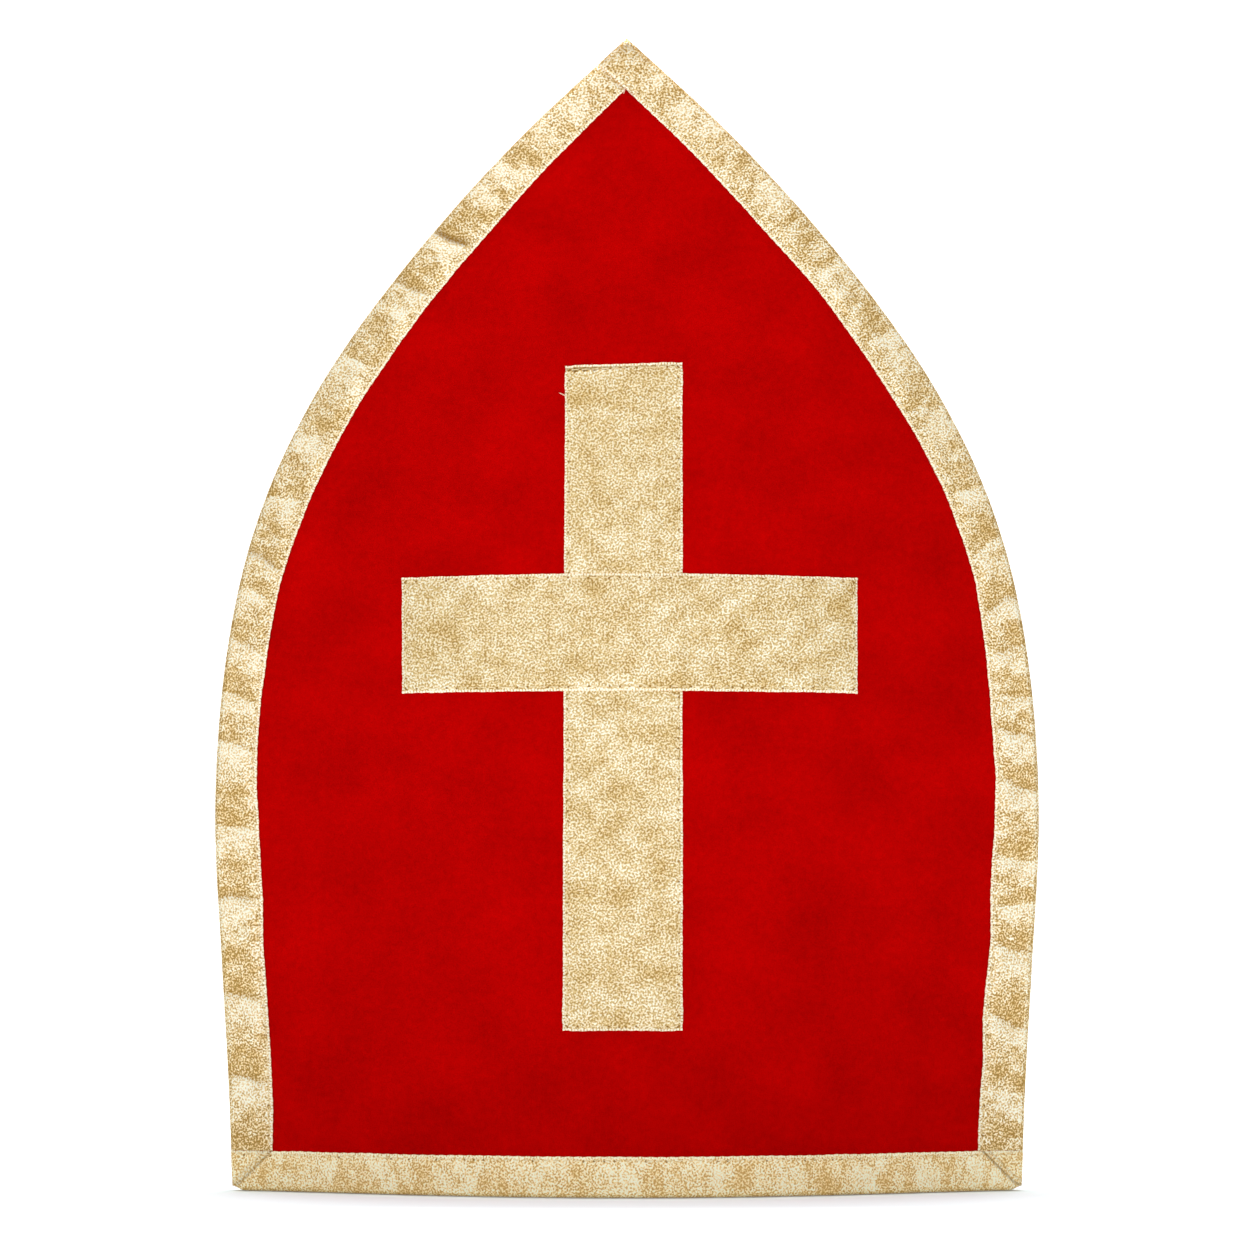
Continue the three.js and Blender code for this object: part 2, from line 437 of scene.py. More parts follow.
def new_group(
    name: str, inputs: dict[str, float | None], outputs: Iterable[str]
) -> tuple[NodeTree, NodeBoard, bpy.types.Node]:
    """Starts a shader node group.

    Args:
        name: Its name.
        inputs: Its inputs, each with a starting value, or None where it takes a vector.
        outputs: Its outputs, each a number.

    Returns:
        The group, a board to add its nodes on, and its input node.
    """
    group = bpy.data.node_groups.new(name, "ShaderNodeTree")
    for key, value in inputs.items():
        kind = "NodeSocketVector" if value is None else "NodeSocketFloat"
        socket = group.interface.new_socket(key, in_out="INPUT", socket_type=kind)
        if value is not None:
            socket.default_value = value
    for key in outputs:
        group.interface.new_socket(key, in_out="OUTPUT", socket_type="NodeSocketFloat")
    board = NodeBoard(group)
    return group, board, board.add("NodeGroupInput")


def soft_mottle_group() -> NodeTree:
    """Broad soft patches from 0 to 1, for colour that varies over a cloth."""
    group, board, given = new_group("soft_mottle", {"Place": None, "Scale": 60, "Contrast": 1}, ["Patch"])
    noise = board.noise(given.outputs["Place"], given.outputs["Scale"], 3.0, 0.55)
    away = board.math("MULTIPLY", board.math("SUBTRACT", noise, 0.5), given.outputs["Contrast"])
    board.add("NodeGroupOutput", {"Patch": board.math("ADD", away, 0.5, clamp=True)})
    return group


def crinkle_group() -> NodeTree:
    """The close crinkle of the metal-faced cloth: two runs of short ridges that cross, whose lie turns from one
    diagonal to the other, broken into beads by a finer grain. Its ridges are a pitch apart."""
    cell_share, ridges_per_cell, turn_scale, grain_scale = 0.6, 1.67, 190.0, 1150.0
    inputs = {"Place": None, "Pitch": 1.0 * MM, "Order": 0.55, "Depth": 1.0, "Grain": 1.0}
    group, board, given = new_group("metal_crinkle", inputs, ["Relief"])
    place = given.outputs["Place"]
    turn = board.noise(place, turn_scale, 1.0)
    lie = board.math("MULTIPLY_ADD", board.between(turn, 0.35, 0.65), math.pi / 2, math.pi / 4)
    cells = {
        "Vector": place,
        "Scale": board.math("DIVIDE", cell_share, given.outputs["Pitch"]),
        "Frequency": ridges_per_cell,
        "Anisotropy": given.outputs["Order"],
    }
    first, second = (
        board.add("TexGabor", cells | {"Orientation": angle}).outputs["Value"]
        for angle in (lie, board.math("ADD", lie, math.pi / 2))
    )
    ridges = board.math("MULTIPLY", board.math("ADD", first, second), 0.5)
    grain = board.noise(place, grain_scale, 2.0, 0.6)
    spread = board.math("MULTIPLY", board.math("SUBTRACT", ridges, 0.5), given.outputs["Depth"])
    speckle = board.math("MULTIPLY", board.math("SUBTRACT", grain, 0.5), given.outputs["Grain"])
    relief = board.math("ADD", board.math("ADD", spread, speckle), 0.5, clamp=True)
    board.add("NodeGroupOutput", {"Relief": relief})
    return group


def needle_group() -> NodeTree:
    """What a sewn edge shows: the needle's holes, the scallops of cloth that the thread draws up between them, the
    beads of the turned edge, where the finish paints a highlight, and the gaps between the beads and on the cloth's
    cut wall, where it paints their shade in a warm orange that also stands in for the velvet's red glow."""
    sway, scallop_reach, bead_pitch = 0.5 * MM, 0.9 * MM, 1.05 * MM
    hole_rim, bead_top, bead_foot = (0.45, 1.15), (0.3, 0.8), (0.2, 0.7)
    beads_reach, gaps_reach, wall_reach = (0.4 * MM, 1.0 * MM), (0.05 * MM, 0.35 * MM), (0.02 * MM, 0.08 * MM)
    inputs = {"Seam": None, "Inset": 1.3 * MM, "Pitch": 3.5 * MM, "Radius": 0.45 * MM, "Kept": 0.8}
    group, board, given = new_group("needle_holes", inputs, ["Hole", "Scallop", "Edge", "Gap"])
    from_edge, run, _ = board.add("SeparateXYZ", {0: given.outputs["Seam"]}).outputs
    count = board.math("DIVIDE", run, given.outputs["Pitch"])
    cell = board.math("FLOOR", count)
    chance = board.add("TexWhiteNoise", {"W": cell}, noise_dimensions="1D").outputs["Value"]
    along = board.math("MULTIPLY", board.math("SUBTRACT", board.math("FRACT", count), 0.5), given.outputs["Pitch"])
    across = board.math("SUBTRACT", from_edge, given.outputs["Inset"])
    across = board.math("ADD", across, board.math("MULTIPLY", board.math("SUBTRACT", chance, 0.5), sway))
    far = board.math("SQRT", board.math("ADD", board.math("POWER", along, 2.0), board.math("POWER", across, 2.0)))
    disc = board.rest(board.between(board.math("DIVIDE", far, given.outputs["Radius"]), *hole_rim))
    hole = board.math("MULTIPLY", disc, board.math("LESS_THAN", chance, given.outputs["Kept"]))
    depth = board.math("DIVIDE", across, scallop_reach)
    line = board.math("MAXIMUM", board.rest(board.math("POWER", depth, 2.0)), 0.0)
    ripple = board.math("ABSOLUTE", board.math("COSINE", board.math("MULTIPLY", count, math.pi)))
    bead = board.math("ABSOLUTE", board.math("SINE", board.math("MULTIPLY", run, math.pi / bead_pitch)))
    edge = board.rest(board.between(from_edge, *beads_reach))
    edge = board.math("MULTIPLY", edge, board.between(bead, *bead_top))
    gap = board.rest(board.between(from_edge, *gaps_reach))
    gap = board.math("MULTIPLY", gap, board.rest(board.between(bead, *bead_foot)))
    wall = board.rest(board.between(from_edge, *wall_reach))
    outputs = {
        "Hole": hole,
        "Scallop": board.math("MULTIPLY", line, ripple),
        "Edge": edge,
        "Gap": board.math("MAXIMUM", gap, wall),
    }
    board.add("NodeGroupOutput", outputs)
    return group


@dataclass(frozen=True)
class VelvetFinish:
    """Red cotton velvet: a deep even red whose pile brightens a little where it is seen along the surface."""

    name: str = "red velvet"
    dark: Colour = (0.29, 0.0004, 0.0004)
    light: Colour = (0.57, 0.0006, 0.0006)
    sheen_tint: Colour = (1.0, 0.02, 0.02)
    broad_scale: float = 38.0
    fine_scale: float = 420.0
    speck_scale: float = 1500.0
    pile_scale: float = 2600.0
    broad_share: float = 0.45
    fine_share: float = 0.3
    speck_share: float = 0.25
    roughness: float = 0.92
    sheen: float = 0.18
    sheen_roughness: float = 0.45
    pile: float = 0.3 * MM

    def material(self, mottle: NodeTree) -> bpy.types.Material:
        """Builds the material.

        Args:
            mottle: The group of soft patches.

        Returns:
            The material.
        """
        material, board = new_material(self.name)
        place = board.uv("cloth")
        broad, fine = (
            board.add("Group", {"Place": place, "Scale": scale, "Contrast": contrast}, node_tree=mottle).outputs[0]
            for scale, contrast in ((self.broad_scale, 1.5), (self.fine_scale, 1.4))
        )
        tone = board.math("MULTIPLY", broad, self.broad_share)
        tone = board.math("MULTIPLY_ADD", fine, self.fine_share, tone)
        tone = board.math("MULTIPLY_ADD", board.noise(place, self.speck_scale, 1.0), self.speck_share, tone)
        height = board.math("ADD", board.noise(place, self.pile_scale, 2.0), board.math("MULTIPLY", fine, 0.8))
        board.surface(
            {
                "Base Color": board.ramp(tone, ((0.15, self.dark), (0.85, self.light))),
                "Roughness": self.roughness,
                "Specular IOR Level": 0.0,
                "Sheen Weight": self.sheen,
                "Sheen Roughness": self.sheen_roughness,
                "Sheen Tint": (*self.sheen_tint, 1.0),
                "Normal": board.bump(height, self.pile, 0.35),
            }
        )
        return material


@dataclass(frozen=True)
class GoldFinish:
    """Metal-faced cloth. Its colour is painted cream where the crinkle would face the light and tan in its dips, a
    painted highlight and painted shade, with soft random patches of painted sheen. Its tone runs from low over middle
    to high, and the shares say how far the crinkle, the patches, the smaller blotches and the painted light of the
    cloth's own folds move it. Painted highlights lie on the beads of its sewn edges and painted shade at its creases."""

    name: str
    high: Colour = (1.0, 0.95, 0.78)
    middle: Colour = (0.77, 0.56, 0.26)
    low: Colour = (0.42, 0.24, 0.06)
    # hole is the needle holes' own dark; fold is the painted shade at creases; gap is the painted shade of the bead
    # gaps and the cut wall, warmed orange; high also paints the beads' highlight.
    hole: Colour = (0.30, 0.15, 0.03)
    fold: Colour = (0.26, 0.12, 0.01)
    gap: Colour = (0.85, 0.45, 0.20)
    pitch: float = 1.0 * MM
    order: float = 0.55
    depth: float = 4.2
    grain: float = 4.2
    patch_scale: float = 55.0
    patch_contrast: float = 2.2
    blotch_scale: float = 140.0
    blotch_contrast: float = 2.6
    metallic: float = 0.45
    roughness: float = 0.46
    relief: float = 0.16 * MM
    relief_share: float = 0.9
    patch_share: float = 0.2
    blotch_share: float = 0.32
    painted_light_share: float = 0.6
    holes_kept: float = 0.65

    def material(
        self, crinkle: NodeTree, mottle: NodeTree, needle: NodeTree
    ) -> bpy.types.Material:
        """Builds the material.

        Args:
            crinkle: The group of the cloth's close crinkle.
            mottle: The group of soft patches.
            needle: The group of the needle's holes.

        Returns:
            The material.
        """
        material, board = new_material(self.name)
        place = board.uv("cloth")
        weave = {"Place": place, "Pitch": self.pitch, "Order": self.order, "Depth": self.depth, "Grain": self.grain}
        relief = board.add("Group", weave, node_tree=crinkle).outputs["Relief"]
        patch, blotch = (
            board.add("Group", {"Place": place, "Scale": scale, "Contrast": contrast}, node_tree=mottle).outputs[0]
            for scale, contrast in (
                (self.patch_scale, self.patch_contrast), (self.blotch_scale, self.blotch_contrast),
            )
        )
        sewn = board.add("Group", {"Seam": board.uv("seam"), "Kept": self.holes_kept}, node_tree=needle).outputs
        # The crinkle's relief sets the colour as well as the bump: painted highlight on its ridges and painted shade
        # in its dips. The patches and blotches add painted sheen, and the light mark the painted highlight and shade
        # of the folds.
        tone = board.math("MULTIPLY_ADD", relief, self.relief_share, -self.relief_share / 2)
        for source, share in (
            (patch, self.patch_share), (blotch, self.blotch_share), (board.mark("painted_light"), self.painted_light_share),
        ):
            tone = board.math("MULTIPLY_ADD", source, share, tone)
        spare = self.patch_share + self.blotch_share + self.painted_light_share
        tone = board.math("ADD", tone, 0.5 - spare / 2, clamp=True)
        colour = board.ramp(tone, ((0.0, self.low), (0.5, self.middle), (1.0, self.high)))
        # Painted highlight on the edge beads, painted shade in a warm orange in the gaps and on the cut wall, painted
        # shade at the creases, then the holes' own dark.
        colour = board.mix(board.math("MULTIPLY", sewn["Edge"], 0.85), colour, self.high)
        colour = board.mix(board.math("MULTIPLY", sewn["Gap"], 0.7), colour, self.gap)
        colour = board.mix(board.math("MULTIPLY", board.mark("crease"), 0.85), colour, self.fold)
        colour = board.mix(sewn["Hole"], colour, self.hole)
        dull = board.math("MAXIMUM", sewn["Hole"], board.math("MAXIMUM", sewn["Gap"], sewn["Edge"]))
        height = board.math("ADD", relief, board.math("MULTIPLY", sewn["Scallop"], 1.2))
        height = board.math("SUBTRACT", height, sewn["Hole"])
        board.surface(
            {
                "Base Color": colour,
                "Roughness": board.math("MULTIPLY_ADD", relief, -0.12, self.roughness + 0.08),
                "Metallic": board.math("MULTIPLY_ADD", dull, -self.metallic, self.metallic),
                "Specular IOR Level": 0.0,
                "Normal": board.bump(height, self.relief, 0.55),
            }
        )
        return material


@dataclass(frozen=True)
class ThreadFinish:
    """Twisted sewing thread."""

    name: str
    light: Colour
    dark: Colour
    twist_scale: float = 900.0
    twist: float = 0.05 * MM
    roughness: float = 0.55

    def material(self, mottle: NodeTree) -> bpy.types.Material:
        """Builds the material.

        Args:
            mottle: The group of soft patches.

        Returns:
            The material.
        """
        material, board = new_material(self.name)
        place = board.add("TexCoord").outputs["Object"]
        inputs = {"Place": place, "Scale": self.twist_scale, "Contrast": 2.0}
        patch = board.add("Group", inputs, node_tree=mottle).outputs["Patch"]
        board.surface(
            {
                "Base Color": board.ramp(patch, ((0.2, self.dark), (0.8, self.light))),
                "Roughness": self.roughness,
                "Specular IOR Level": 0.3,
                "Normal": board.bump(patch, self.twist, 0.4),
            }
        )
        return material


@dataclass
class Finishes:
    """The mitre's materials, built once."""

    velvet: bpy.types.Material
    tape: bpy.types.Material
    hem: bpy.types.Material
    cloth: bpy.types.Material
    thread: bpy.types.Material
    loose_thread: bpy.types.Material

    @classmethod
    def build(cls) -> "Finishes":
        """Builds the shared groups and every material."""
        mottle, crinkle, needle = soft_mottle_group(), crinkle_group(), needle_group()
        # The tapes' middle tone and the whole hem ramp are painted lighter than the cross's cloth, the same cloth, to
        # make up for the less light that reaches the sides and the hem: painted light. Their larger blotch shares add
        # more painted sheen.
        tape = GoldFinish("gold tape", holes_kept=0.5, blotch_share=0.4, middle=(0.86, 0.62, 0.30))
        hem = GoldFinish(
            "gold hem tape", holes_kept=0.3, blotch_share=0.5, high=(1.0, 0.96, 0.74), middle=(0.99, 0.76, 0.39),
            low=(0.64, 0.38, 0.12), metallic=0.15, relief_share=1.0,
        )
        cloth = GoldFinish("gold cloth", relief_share=0.72, patch_scale=42.0)
        thread = ThreadFinish("gold thread", (0.95, 0.80, 0.52), (0.70, 0.53, 0.27))
        loose_thread = ThreadFinish("pale thread", (0.85, 0.62, 0.45), (0.66, 0.40, 0.26))
        return cls(
            velvet=VelvetFinish().material(mottle),
            tape=tape.material(crinkle, mottle, needle),
            hem=hem.material(crinkle, mottle, needle),
            cloth=cloth.material(crinkle, mottle, needle),
            thread=thread.material(mottle),
            loose_thread=loose_thread.material(mottle),
        )


# ---- Velvet


@dataclass
class VelvetPanel:
    """One panel of velvet, whose edges are hidden in the tape."""

    form: MitreForm
    name: str
    node: str
    cells: tuple[int, int]
    face: float = 1.0 * MM
    pressed: float = 0.3 * MM
    wall: float = 1.7 * MM
    inset: float = 1.3 * MM
    tip_half_width: float = 4 * MM
    pile_opens: tuple[float, float] = (15 * MM, 19 * MM)

    def half_width_at(self, z: Array) -> Array:
        """The cut cloth's half-width: the outline less the inset, measured square to the edge."""
        return self.form.half_width_at(z) - self.inset * np.hypot(1, self.form.outline_slope(z))

    def lay(self, across: Array, along: Array) -> Lay:
        """Lays the panel over its form."""
        middle = np.array(self.form.height / 2)
        tip = root_of(lambda z: self.tip_half_width - self.half_width_at(z), middle, middle * 2)
        z = self.inset + (tip - self.inset) * along
        x = self.half_width_at(z) * (2 * across - 1)
        from_side = (self.form.half_width_at(z) - np.abs(x)) / np.hypot(1, self.form.outline_slope(z))
        open_pile = smooth_step(np.minimum(from_side, z + 3 * MM), *self.pile_opens)
        points = self.form.point(x, z, self.face - self.pressed * (1 - open_pile))
        return Lay(points, np.stack([x, z], -1), np.stack([x, z], -1))

    def build(self, finishes: Finishes) -> bpy.types.Object:
        panel = woven_sheet(self.name, self.cells, self.lay, self.wall)
        declare(panel, finishes.velvet, [self.node])
        return panel


# ---- Gold tape


@dataclass(frozen=True)
class Crease:
    """A crease across the tape, which swells out between it and the next one down. Its place is a height, or a
    distance from the middle of the hem, and it leans as it crosses the tape from the fold to the sewn edge. Its shade
    is how much painted shade lies just above it."""

    place: float
    swell: float
    lean: float = 0.0
    shade: float = 0.0


# From the lowest up. The first has nothing below it to swell.
LEFT_CREASES = (
    Crease(13.9 * MM, 0.0),
    Crease(39.8 * MM, 1.05 * MM, -0.35, 0.25),
    Crease(68.5 * MM, 1.20 * MM, -0.3, 0.25),
    Crease(103.0 * MM, 1.25 * MM, -0.1, 0.3),
    Crease(128.0 * MM, 0.75 * MM, -0.2, 0.1),
    Crease(157.4 * MM, 1.15 * MM, -0.4, 0.15),
    Crease(174.3 * MM, 0.60 * MM, -0.4, 0.1),
    Crease(192.3 * MM, 0.90 * MM, -0.4, 0.15),
    Crease(211.0 * MM, 0.55 * MM, -0.4),
    Crease(222.3 * MM, 0.42 * MM, -0.4, 0.4),
    Crease(243.0 * MM, 0.55 * MM, 0.2),
    Crease(265.0 * MM, 0.60 * MM, -0.2),
    Crease(290.0 * MM, 0.70 * MM, 0.2),
    Crease(314.0 * MM, 0.65 * MM, 0.3, 0.3),
    Crease(330.2 * MM, 0.90 * MM, 0.35, 1.0),
    Crease(354.0 * MM, 0.60 * MM, 0.2),
    Crease(379.0 * MM, 0.50 * MM, -0.2),
)

RIGHT_CREASES = (
    Crease(13.9 * MM, 0.0),
    Crease(34.5 * MM, 0.55 * MM, 0.3),
    Crease(57.6 * MM, 0.90 * MM, 0.5, 0.2),
    Crease(84.0 * MM, 1.05 * MM, 0.2, 0.15),
    Crease(100.8 * MM, 0.50 * MM, -0.2),
    Crease(115.7 * MM, 0.45 * MM, 0.2),
    Crease(141.0 * MM, 1.05 * MM, 0.4, 0.2),
    Crease(159.7 * MM, 0.70 * MM, 0.3, 0.15),
    Crease(173.2 * MM, 0.45 * MM, 0.2),
    Crease(190.7 * MM, 0.60 * MM, -0.3, 0.15),
    Crease(207.0 * MM, 0.60 * MM, -0.4, 0.2),
    Crease(227.0 * MM, 0.70 * MM, -0.3),
    Crease(246.0 * MM, 0.55 * MM, 0.2),
    Crease(272.0 * MM, 0.65 * MM, -0.2),
    Crease(298.0 * MM, 0.65 * MM, 0.25),
    Crease(322.0 * MM, 0.60 * MM, -0.2),
    Crease(348.0 * MM, 0.60 * MM, 0.2),
    Crease(372.0 * MM, 0.50 * MM, -0.2),
)

# How wide the side tapes are folded at each height, in millimetres.
LEFT_WIDTHS = (
    (14, 16.6), (30, 17.4), (60, 17.3), (88, 17.0), (102, 18.0), (130, 17.5), (145, 16.3), (160, 15.9), (187, 16.3),
    (215, 16.3), (237, 17.5), (265, 17.9), (293, 17.5), (307, 16.8), (325, 16.2), (340, 16.0), (352, 15.0),
    (366, 14.3), (380, 13.3), (400, 13.0),
)

RIGHT_WIDTHS = (
    (14, 18.1), (31, 18.0), (46, 17.4), (60, 18.4), (74, 18.0), (88, 17.0), (102, 18.2), (116, 18.3), (130, 17.7),
    (145, 17.0), (166, 17.4), (187, 16.7), (200, 16.4), (215, 15.5), (240, 16.2), (265, 16.8), (279, 17.3),
    (300, 16.6), (321, 15.3), (336, 15.8), (350, 15.2), (366, 14.5), (380, 13.8), (400, 13.4),
)

HEM_CREASES = (
    Crease(-134 * MM, 0.0),
    Crease(-108 * MM, 0.45 * MM, 0.3),
    Crease(-82 * MM, 0.50 * MM, -0.4),
    Crease(-52 * MM, 0.55 * MM, 0.4),
    Crease(-24 * MM, 0.45 * MM, 0.2),
    Crease(4 * MM, 0.50 * MM, -0.4),
    Crease(34 * MM, 0.55 * MM, 0.4),
    Crease(63 * MM, 0.45 * MM, -0.2),
    Crease(90 * MM, 0.55 * MM, 0.5),
    Crease(116 * MM, 0.50 * MM, -0.3),
    Crease(134 * MM, 0.40 * MM, 0.2),
)


def crumple(across: Array, along: Array, size: float, seed: int) -> Array:
    """Gives a smooth random height from -1 to 1 over a cloth.

    Args:
        across: Where to read it, across the cloth.
        along: The same, along it.
        size: How far apart its bumps are.
        seed: Which of the many patterns.

    Returns:
        The heights.
    """
    grid = np.random.default_rng(seed).uniform(-1, 1, (64, 256))
    a, b = across / size + 8, along / size + 8
    i, j = np.floor(a).astype(int), np.floor(b).astype(int)
    u, v = smooth_step(a - i, 0, 1), smooth_step(b - j, 0, 1)

    def at(di: int, dj: int) -> Array:
        """The random height at a corner of the cell."""
        return grid[(i + di) % 64, (j + dj) % 256]

    return (1 - u) * ((1 - v) * at(0, 0) + v * at(0, 1)) + u * ((1 - v) * at(1, 0) + v * at(1, 1))


@dataclass
class FoldedTape:
    """Tape folded over a panel's edge and sewn through near its own edges."""

    form: MitreForm
    name: str
    node: str
    creases: tuple[Crease, ...]
    seed: int
    rows: int = 570
    columns: tuple[int, int, int] = (22, 8, 10)
    flat: tuple[float, float] = (0.036, 0.430)
    back_width: float = 16.8 * MM
    cloth_wall: float = 0.4 * MM
    radius: float = 1.9 * MM
    edge_face: float = 1.5 * MM
    stitch_inset: float = 1.3 * MM
    stitch_pitch: float = 3.5 * MM
    edge_drop: float = 0.2 * MM
    swell_gain: float = 0.75
    painted_light_gain: float = 7.0
    crest_place: float = 0.85
    rise_length: float = 2.2 * MM
    crumples: tuple[tuple[float, float], ...] = ((5.2 * MM, 0.14 * MM), (2.3 * MM, 0.07 * MM))
    rolled_strip: float = 1.9 * MM
    pressed_least: float = 0.24

    def width_at(self, along: Array) -> Array:
        """The width of the tape's outer leg at a distance along it."""
        raise NotImplementedError

    def section(self, share: Array, width: Array) -> tuple[Array, Array, Array, Array]:
        """Follows the tape from its sewn edge outside, round its fold, to its edge inside.

        Args:
            share: How far along that way, as a share of the columns.
            width: The width of the outer leg.

        Returns:
            How far each point is from the fold's crest, the turn from 1 outside to -1 inside, the distance from its
            own leg's edge, and the distance along the cloth.
        """
        outer, bend, inner = self.columns
        column = share * (outer + bend + inner)
        angle = math.pi * np.clip((column - outer) / bend, 0, 1)
        on_outer = np.clip(column / outer, 0, 1)
        on_inner = np.clip((column - outer - bend) / inner, 0, 1)
        from_crest = np.where(
            column <= outer,
            width - (width - self.radius) * on_outer,
            self.radius - self.radius * np.sin(angle) + (self.back_width - self.radius) * on_inner,
        )
        leg = np.where(column <= outer + bend / 2, width, self.back_width)
        cloth = (width - self.radius) * on_outer + self.radius * angle + (self.back_width - self.radius) * on_inner
        return from_crest, np.cos(angle), leg - from_crest, cloth

    def swell(self, from_crest: Array, along: Array, centres: Array) -> tuple[Array, Array]:
        """Swells the tape out between its creases.

        Args:
            from_crest: The distance from the fold's crest.
            along: The distance along the tape.
            centres: Where each crease is along the tape.

        Returns:
            The height that it adds, and the painted shade at each crease, from 0 to 1.
        """
        offset = from_crest - self.back_width * 0.4
        offset = np.where(offset > 0, offset, offset * 0.3)
        lines = [centre + crease.lean * offset for crease, centre in zip(self.creases, centres)]
        lift, shade = np.zeros_like(along), np.zeros_like(along)
        for crease, low, high in zip(self.creases[1:], lines, lines[1:]):
            share = np.clip((high - along) / (high - low), 0, 1)
            lift += self.swell_gain * crease.swell * np.sin(math.pi * share**self.crest_place)
            # Painted shade, just above each crease.
            shade += crease.shade * np.exp(-(((along - high - 0.6 * MM) / (1.3 * MM)) ** 2))
        return lift, np.clip(shade, 0, 1)

    def face(self, from_edge: Array, from_crest: Array, along: Array, centres: Array) -> tuple[Array, Array]:
        """Gives the outer leg's face: pressed down along the stitches, raised between them and the fold.

        Args:
            from_edge: The distance from the sewn edge.
            from_crest: The distance from the fold's crest.
            along: The distance along the tape.
            centres: Where each crease is along the tape.

        Returns:
            Its distance from the middle of the panel, and the painted shade at its creases.
        """
        rise = 1 - np.exp(-np.maximum(from_edge - 0.4 * MM, 0) / self.rise_length)
        height = self.edge_face + (self.radius - self.edge_face) * rise
        lift, shade = self.swell(from_crest, along, centres)
        free = smooth_step(from_edge, 0.8 * MM, 5 * MM) * (0.35 + 0.65 * smooth_step(from_crest, 0, 3 * MM))
        height = height + free * lift
        small = sum(
            high * crumple(from_crest, along, size, self.seed + i) for i, (size, high) in enumerate(self.crumples)
        )
        height = height + small * (0.35 + 0.65 * free)
        stitches = 0.5 + 0.5 * np.cos(2 * math.pi * along / self.stitch_pitch)
        line = np.exp(-(((from_edge - self.stitch_inset) / (0.55 * MM)) ** 2))
        height = height - line * (0.05 + 0.06 * stitches) * MM
        height = np.maximum(height, self.cloth_wall + 1.0 * MM)
        return height - self.edge_drop * np.exp(-((from_edge / (0.4 * MM)) ** 2)), shade * free

    def painted_light(self, from_edge: Array, from_crest: Array, along: Array, centres: Array) -> Array:
        """The face's painted light: a painted highlight on the upper side of each ridge and painted shade on its
        lower side, painted shade over the rolled strip by the fold and a thin painted highlight just past it.

        Args:
            from_edge: The distance from the sewn edge.
            from_crest: The distance from the fold's crest.
            along: The distance along the tape.
            centres: Where each crease is along the tape.

        Returns:
            A share from 0 to 1, with 0.5 where the tape lies level.
        """
        step = 0.5 * MM
        ahead = self.face(from_edge, from_crest, along + step, centres)[0]
        behind = self.face(from_edge, from_crest, along - step, centres)[0]
        # Painted shade over the rolled strip by the fold, and a thin painted highlight just past it.
        wander = self.rolled_strip + 0.5 * MM * crumple(along * 0, along, 11 * MM, self.seed + 5)
        rolled = (1 - smooth_step(from_crest, wander - 0.4 * MM, wander)) * 0.3
        ridge = np.exp(-(((from_crest - wander - 0.25 * MM) / (0.28 * MM)) ** 2)) * 0.35
        return np.clip(0.5 - self.painted_light_gain * (ahead - behind) / (2 * step) - rolled + ridge, 0, 1)

    def pressed(self, from_end: Array, reach: float) -> Array:
        """How far open the fold is near an end where its two legs are pressed together, rounded over a reach."""
        share = np.clip(from_end / reach, 0, 1)
        return np.maximum(np.sqrt(1 - (1 - share) ** 2), self.pressed_least)

    def place(self, share: Array, row: Array) -> Lay:
        """Lays the tape."""
        raise NotImplementedError

    def build(self, finishes: Finishes, thread: "Stitches") -> bpy.types.Object:
        """Args:
            finishes: The materials.
            thread: The stitch that is copied along it.

        Returns:
            The tape.
        """
        tape = woven_sheet(self.name, (sum(self.columns), self.rows), self.place, self.cloth_wall, (0.6, 0))
        declare(tape, self.finish(finishes), [self.node])
        sewing = thread.along(f"{self.name}_stitches", self.place, self.stitch_line())
        declare(sewing, finishes.thread)
        return tape

    def finish(self, finishes: Finishes) -> bpy.types.Material:
        """The tape's own material."""
        return finishes.tape

    def stitch_line(self) -> StitchLine:
        """The stitches near the tape's outer edge."""
        length = self.flat[1]
        count = int(length / self.stitch_pitch) - 1
        row = (np.arange(count) + 1.0) * self.stitch_pitch / length
        row = row[row < 0.995]
        width = self.width_at(row * length)
        outer = self.columns[0]
        share = self.stitch_inset / (width - self.radius) * outer / sum(self.columns)
        return StitchLine(share, row, np.zeros(len(row), bool))


